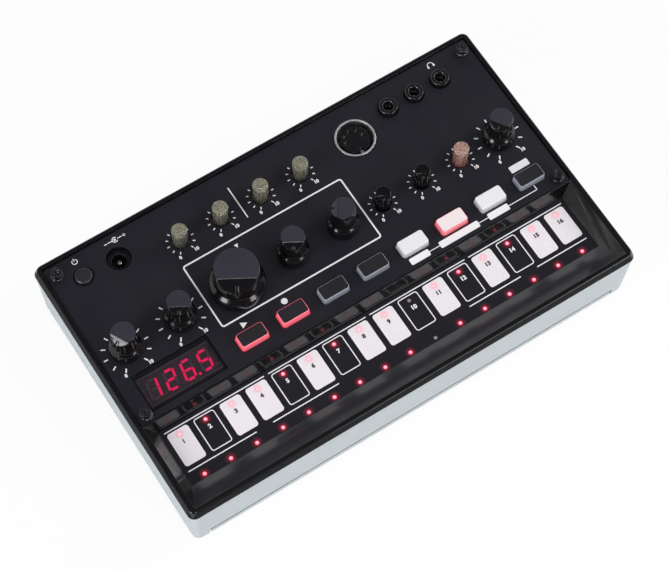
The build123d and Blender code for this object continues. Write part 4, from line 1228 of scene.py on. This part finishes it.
class DRUM_OT_case(bpy.types.Operator):
    """Lower case, battery cover and feet"""
    bl_idname = "drum.case"
    bl_label = "Case"

    def execute(self, context):
        look = context.scene.drum_finish
        grey = moulding("case_grey_grain", look.case, rough=(0.42, 0.56), grain=3200.0, bump=0.2, drift=1.05,
                        wear_and_glint=0.15)
        rubber = moulding("foot_rubber_matt", srgb(28, 28, 29), rough=(0.75, 0.9), grain=1800.0, bump=0.3)
        softened("lower_case", "case_shell", grey, case_edge, "chassis", "case_grey", clamp=True)
        softened("battery_cover", "cover_shell", cover_material(look), case_edge, "battery_cover",
                 "case_grey", clamp=True)
        dress("rubber_feet", rubber)
        return {"FINISHED"}


class DRUM_OT_frame(bpy.types.Operator):
    """Polished black frame"""
    bl_idname = "drum.frame"
    bl_label = "Frame"

    def execute(self, context):
        gloss = frame_material(context.scene.drum_finish)
        softened("upper_frame", "frame_shell", gloss, fine_edge, "chassis", "frame_black", shape=scooped)
        return {"FINISHED"}


class DRUM_OT_panel(bpy.types.Operator):
    """Painted panel, its screws and those of the case"""
    bl_idname = "drum.panel"
    bl_label = "Panel"

    def execute(self, context):
        look = context.scene.drum_finish
        paint = moulding("panel_paint", look.panel, rough=(0.44, 0.54), grain=4200.0, bump=0.1, drift=1.06,
                         wear_and_glint=0.12, Specular_IOR_Level=0.35)
        # The screws' strongly lightened edges are a painted highlight along their rims
        black = moulding("screw_black_oxide", srgb(66, 65, 69), rough=(0.14, 0.22), bump=0.01, wear_and_glint=0.9,
                         Metallic=0.85)
        softened("top_panel", "panel_plate", paint, plate_edge, "chassis", "panel_charcoal")
        softened("panel_screws", "panel_screw_heads", black, screw_edge, "chassis", "screw_black")
        softened("case_screws", "case_screw_heads", black, fine_edge, "chassis", "screw_black")
        return {"FINISHED"}


class DRUM_OT_print(bpy.types.Operator):
    """Ticks, lines, signs and numbers on the panel"""
    bl_idname = "drum.print"
    bl_label = "Panel print"

    def execute(self, context):
        settings = context.scene.drum_print
        ink = moulding("screen_print", settings.ink, rough=(0.45, 0.6), bump=0.03)
        tree = tick_ring_tree()
        for name in marked_dials + small_dials:
            place = middle(f"{name}_knob")
            place.z = panel_top + ink_height / 2
            ring = big_ring if name in marked_dials else small_ring
            ticks = grown(f"{name}_knob_ticks", tree, [], Count=settings.tick_count, Thickness=ink_height,
                          Sweep=settings.tick_sweep, Centre=place, Ink=ink, **ring)
            carried(ticks, "chassis", "panel_charcoal")
        section_lines(settings, ink)
        signs(ink)
        dial_numbers(settings, ink)
        return {"FINISHED"}


class DRUM_OT_knobs(bpy.types.Operator):
    """Pushed-on knobs and the bare shafts"""
    bl_idname = "drum.knobs"
    bl_label = "Knobs"

    def execute(self, context):
        look = context.scene.drum_finish
        black = knob_material(look)
        shaft = moulding("shaft_black", look.knob, rough=(0.14, 0.2), bump=0.01)
        smoke = shaft_material("shaft_smoke", look.smoke, smoke_painted_shades, smoke_scatter)[0]
        lit = lit_shaft_material(look)
        grey = moulding("hidden_shaft_grey", srgb(120, 120, 122), rough=(0.4, 0.5))
        for name in big_dials:
            softened(f"{name}_knob", f"{name}_cap", black, look.edge, f"{name}_dial", "knob_black",
                     shape=belled)
            dress(f"{name}_shaft", grey)
        for name in small_dials:
            chosen, slot = smoke, "trim_smoke"
            if name in dark_shafts:
                chosen, slot = shaft, "knob_black"
            elif name == "tempo":
                chosen, slot = lit, "trim_lit"
            softened(f"{name}_knob", f"{name}_stem", chosen, stem_edge, f"{name}_trim", slot)
        return {"FINISHED"}


class DRUM_OT_buttons(bpy.types.Operator):
    """Eight push buttons and the power button"""
    bl_idname = "drum.buttons"
    bl_label = "Buttons"

    def execute(self, context):
        red = context.scene.drum_finish.lit
        dark_top = srgb(30, 28, 33)
        caps = {
            "red": cap_material("cap_red", dark_top, srgb(232, 128, 140), red, strength=0.48),
            "grey": cap_material("cap_grey", dark_top, srgb(150, 156, 168)),
            "white": cap_material("cap_white", srgb(232, 231, 233), srgb(214, 216, 222)),
            "pink": cap_material("cap_pink", srgb(240, 226, 228), srgb(246, 150, 158), red, strength=0.25),
        }
        for name, kind in cap_kinds.items():
            slot = "button_black" if kind in ("red", "grey") else "button_white"
            shell = f"{name}_cap_shell" if name != "accent" else "accent_key_shell"
            softened(f"{name}_button", shell, caps[kind], fine_edge, f"{name}_button", slot)
        satin = moulding("power_satin", srgb(40, 38, 44), rough=(0.3, 0.42), bump=0.04, wear_and_glint=0.15)
        softened("power_button", "power_cap", satin, stem_edge, "power_button", "button_black")
        return {"FINISHED"}


class DRUM_OT_display(bpy.types.Operator):
    """Smoked window and lit digits"""
    bl_idname = "drum.display"
    bl_label = "Display"

    def execute(self, context):
        bars = lamp_material("digit_bars", srgb(255, 46, 120), srgb(250, 16, 84), strength=1.7)
        carried(lit_segments(bars), "chassis", "light_red", "display_segments")
        dress("display_module", moulding("display_housing_dark", srgb(112, 98, 112), rough=(0.5, 0.6)))
        glass = moulding("window_smoke_film", srgb(34, 28, 33), rough=(0.04, 0.1), bump=0.0, Alpha=0.4)
        softened("display_window", "window_pane", glass, fine_edge, "chassis", "window_smoke")
        return {"FINISHED"}


class DRUM_OT_keys(bpy.types.Operator):
    """Printed film with its key fields, numbers and lines"""
    bl_idname = "drum.keys"
    bl_label = "Touch keys"

    def execute(self, context):
        settings = context.scene.drum_keys
        ink = bpy.data.materials["screen_print"]
        dress("touch_film", film_material(context.scene.drum_finish))
        pale = key_material(settings)
        dark = moulding("print_dark", srgb(30, 28, 32), rough=(0.4, 0.55))
        lamps = lamp_row("key_leds")
        fields = {"white": [], "black": []}
        rows = {"white": [], "black": []}
        for index, lamp in enumerate(lamps, 1):
            side = "white" if index in white_keys else "black"
            fields[side].append(Vector((lamp.x, lamp.y - lamp_to_key, film_top)))
            rows[side].append((str(index), lamp.x, lamp.y - lamp_to_number))
        tree = key_field_tree()
        sizes = {"Width": settings.width, "Depth": settings.depth, "Corner": settings.corner,
                 "Thickness": ink_height}
        plates = grown("key_fields", tree, fields["white"], Line=0.0, Ink=pale, **sizes)
        carried(plates, "chassis", "film_black")
        frames = grown("key_outlines", tree, fields["black"], Line=settings.outline, Ink=ink, **sizes)
        carried(frames, "chassis", "film_black")
        height = context.scene.drum_print.number_height
        numbers("key_numbers_dark", rows["white"], height, film_top + ink_height, dark, "film_black")
        numbers("key_numbers_pale", rows["black"], height, film_top, ink, "film_black")
        key_lines(context.scene.drum_print, ink, lamps)
        return {"FINISHED"}


class DRUM_OT_lights(bpy.types.Operator):
    """Domed lenses of the lights over and under the keys"""
    bl_idname = "drum.lights"
    bl_label = "Key lights"

    def execute(self, context):
        bright = lamp_material("lens_bright", srgb(255, 222, 230), srgb(252, 48, 84), strength=1.25)
        soft = lamp_material("lens_soft", srgb(255, 236, 238), srgb(242, 128, 146), strength=0.85)
        tree = lamp_tree()
        every = range(1, key_count + 1)
        dark_keys = [index for index in every if index not in white_keys]
        sets = (
            ("key_lenses_pale", "key_leds", white_keys, soft),
            ("key_lenses_dark", "key_leds", dark_keys, bright),
            ("step_lenses", "step_leds", every, bright),
        )
        for name, node, chosen, lens in sets:
            low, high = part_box(node)
            row = lamp_row(node)
            spots = [Vector((row[index - 1].x, row[index - 1].y, low.z)) for index in chosen]
            lit = [float(index != dark_lamp) for index in chosen]
            domes = grown(name, tree, spots, {"lit": lit}, Radius=lens_radius, Rise=high.z - low.z, Ink=lens)
            carried(domes, "chassis", "light_red", node)
        return {"FINISHED"}


class DRUM_OT_sockets(bpy.types.Operator):
    """Jacks, round socket and power inlet"""
    bl_idname = "drum.sockets"
    bl_label = "Sockets"

    def execute(self, context):
        black = moulding("socket_moulding", srgb(22, 21, 24), rough=(0.14, 0.24), bump=0.02, wear_and_glint=0.1)
        chrome = moulding("bright_plate", srgb(236, 236, 238), rough=(0.34, 0.44), bump=0.0, Metallic=1.0)
        steel = moulding("contact_nickel", srgb(224, 224, 222), rough=(0.15, 0.28), bump=0.01, Metallic=1.0)
        gilt = moulding("contact_gilt", srgb(222, 196, 140), rough=(0.18, 0.3), bump=0.01, Metallic=1.0)
        tin = moulding("contact_tin", srgb(244, 244, 242), rough=(0.5, 0.6), bump=0.0, Metallic=0.5)
        softened("mini_jacks", "jack_sleeves", black, case_edge, "chassis", "socket_black")
        softened("din_shell", "round_socket_shell", chrome, stem_edge, "chassis", "din_chrome")
        softened("din_insert", "round_socket_insert", black, fine_edge, "chassis", "socket_black")
        softened("dc_jack", "inlet_block", black, stem_edge, "chassis", "socket_black")
        for node, material in (("dc_pin", steel), ("din_contacts", gilt), ("jack_contacts", tin)):
            dress(node, material)
        return {"FINISHED"}


class DRUM_OT_inside(bpy.types.Operator):
    """Boards and everything on them"""
    bl_idname = "drum.inside"
    bl_label = "Inside"

    def execute(self, context):
        board = moulding("solder_mask", srgb(28, 96, 58), rough=(0.25, 0.4), grain=700.0, bump=0.04)
        chip = moulding("chip_moulding", srgb(38, 38, 40), rough=(0.5, 0.65), bump=0.1)
        steel = moulding("pressed_steel", srgb(176, 176, 178), rough=(0.25, 0.4), bump=0.03, Metallic=1.0)
        brass = moulding("turned_brass", srgb(206, 172, 96), rough=(0.22, 0.35), bump=0.03, Metallic=1.0)
        ribbon = moulding("ribbon_cover", srgb(168, 168, 170), rough=(0.4, 0.5))
        wire = moulding("wire_cover", srgb(168, 30, 30), rough=(0.35, 0.5))
        lens = moulding("chip_lens", srgb(240, 190, 190), rough=(0.15, 0.25), bump=0.01)
        finishes = {
            "control_board": board, "touch_board": board, "board_chips": chip, "tact_switches": chip,
            "power_switch": chip, "pot_bodies": steel, "board_screws": steel, "battery_contacts": steel,
            "board_spacers": brass, "ribbon_cable": ribbon, "battery_leads": wire, "indicator_leds": lens,
        }
        for node, material in finishes.items():
            dress(node, material)
        return {"FINISHED"}


class DRUM_OT_stage(bpy.types.Operator):
    """Floor, light and camera"""
    bl_idname = "drum.stage"
    bl_label = "Stage"

    def execute(self, context):
        scene = context.scene
        scene.view_settings.view_transform = "Standard"
        floor(scene.drum_stage)
        sky(scene)
        lights(scene)
        camera(scene, scene.drum_stage)
        return {"FINISHED"}


class DRUM_PT_looks(bpy.types.Panel):
    """Lists the operators and their settings"""
    bl_idname = "DRUM_PT_looks"
    bl_label = "Drum synthesizer"
    bl_space_type = "VIEW_3D"
    bl_region_type = "UI"
    bl_category = "Drum synth"

    def draw(self, context):
        for operator in operators:
            self.layout.operator(operator.bl_idname)
        for label, group in settings_groups:
            for name in group.__annotations__:
                self.layout.prop(getattr(context.scene, label), name)


settings_groups = (
    ("drum_print", PrintSettings),
    ("drum_keys", KeySettings),
    ("drum_finish", FinishSettings),
    ("drum_stage", StageSettings),
)
operators = (
    DRUM_OT_case,
    DRUM_OT_frame,
    DRUM_OT_panel,
    DRUM_OT_print,
    DRUM_OT_knobs,
    DRUM_OT_buttons,
    DRUM_OT_display,
    DRUM_OT_keys,
    DRUM_OT_lights,
    DRUM_OT_sockets,
    DRUM_OT_inside,
    DRUM_OT_stage,
)


def register():
    """Registers the settings, the operators and the panel."""
    for label, group in settings_groups:
        bpy.utils.register_class(group)
        setattr(bpy.types.Scene, label, PointerProperty(type=group))
    for kind in operators + (DRUM_PT_looks,):
        bpy.utils.register_class(kind)


def unregister():
    """Takes them out again."""
    for kind in (DRUM_PT_looks,) + operators[::-1]:
        bpy.utils.unregister_class(kind)
    for label, group in settings_groups[::-1]:
        delattr(bpy.types.Scene, label)
        bpy.utils.unregister_class(group)


def main():
    """Dresses the part."""
    register()
    bpy.ops.drum.case()
    bpy.ops.drum.frame()
    bpy.ops.drum.panel()
    bpy.ops.drum.print()
    bpy.ops.drum.knobs()
    bpy.ops.drum.buttons()
    bpy.ops.drum.display()
    bpy.ops.drum.keys()
    bpy.ops.drum.lights()
    bpy.ops.drum.sockets()
    bpy.ops.drum.inside()
    bpy.ops.drum.stage()


if __name__ == "__main__":
    main()
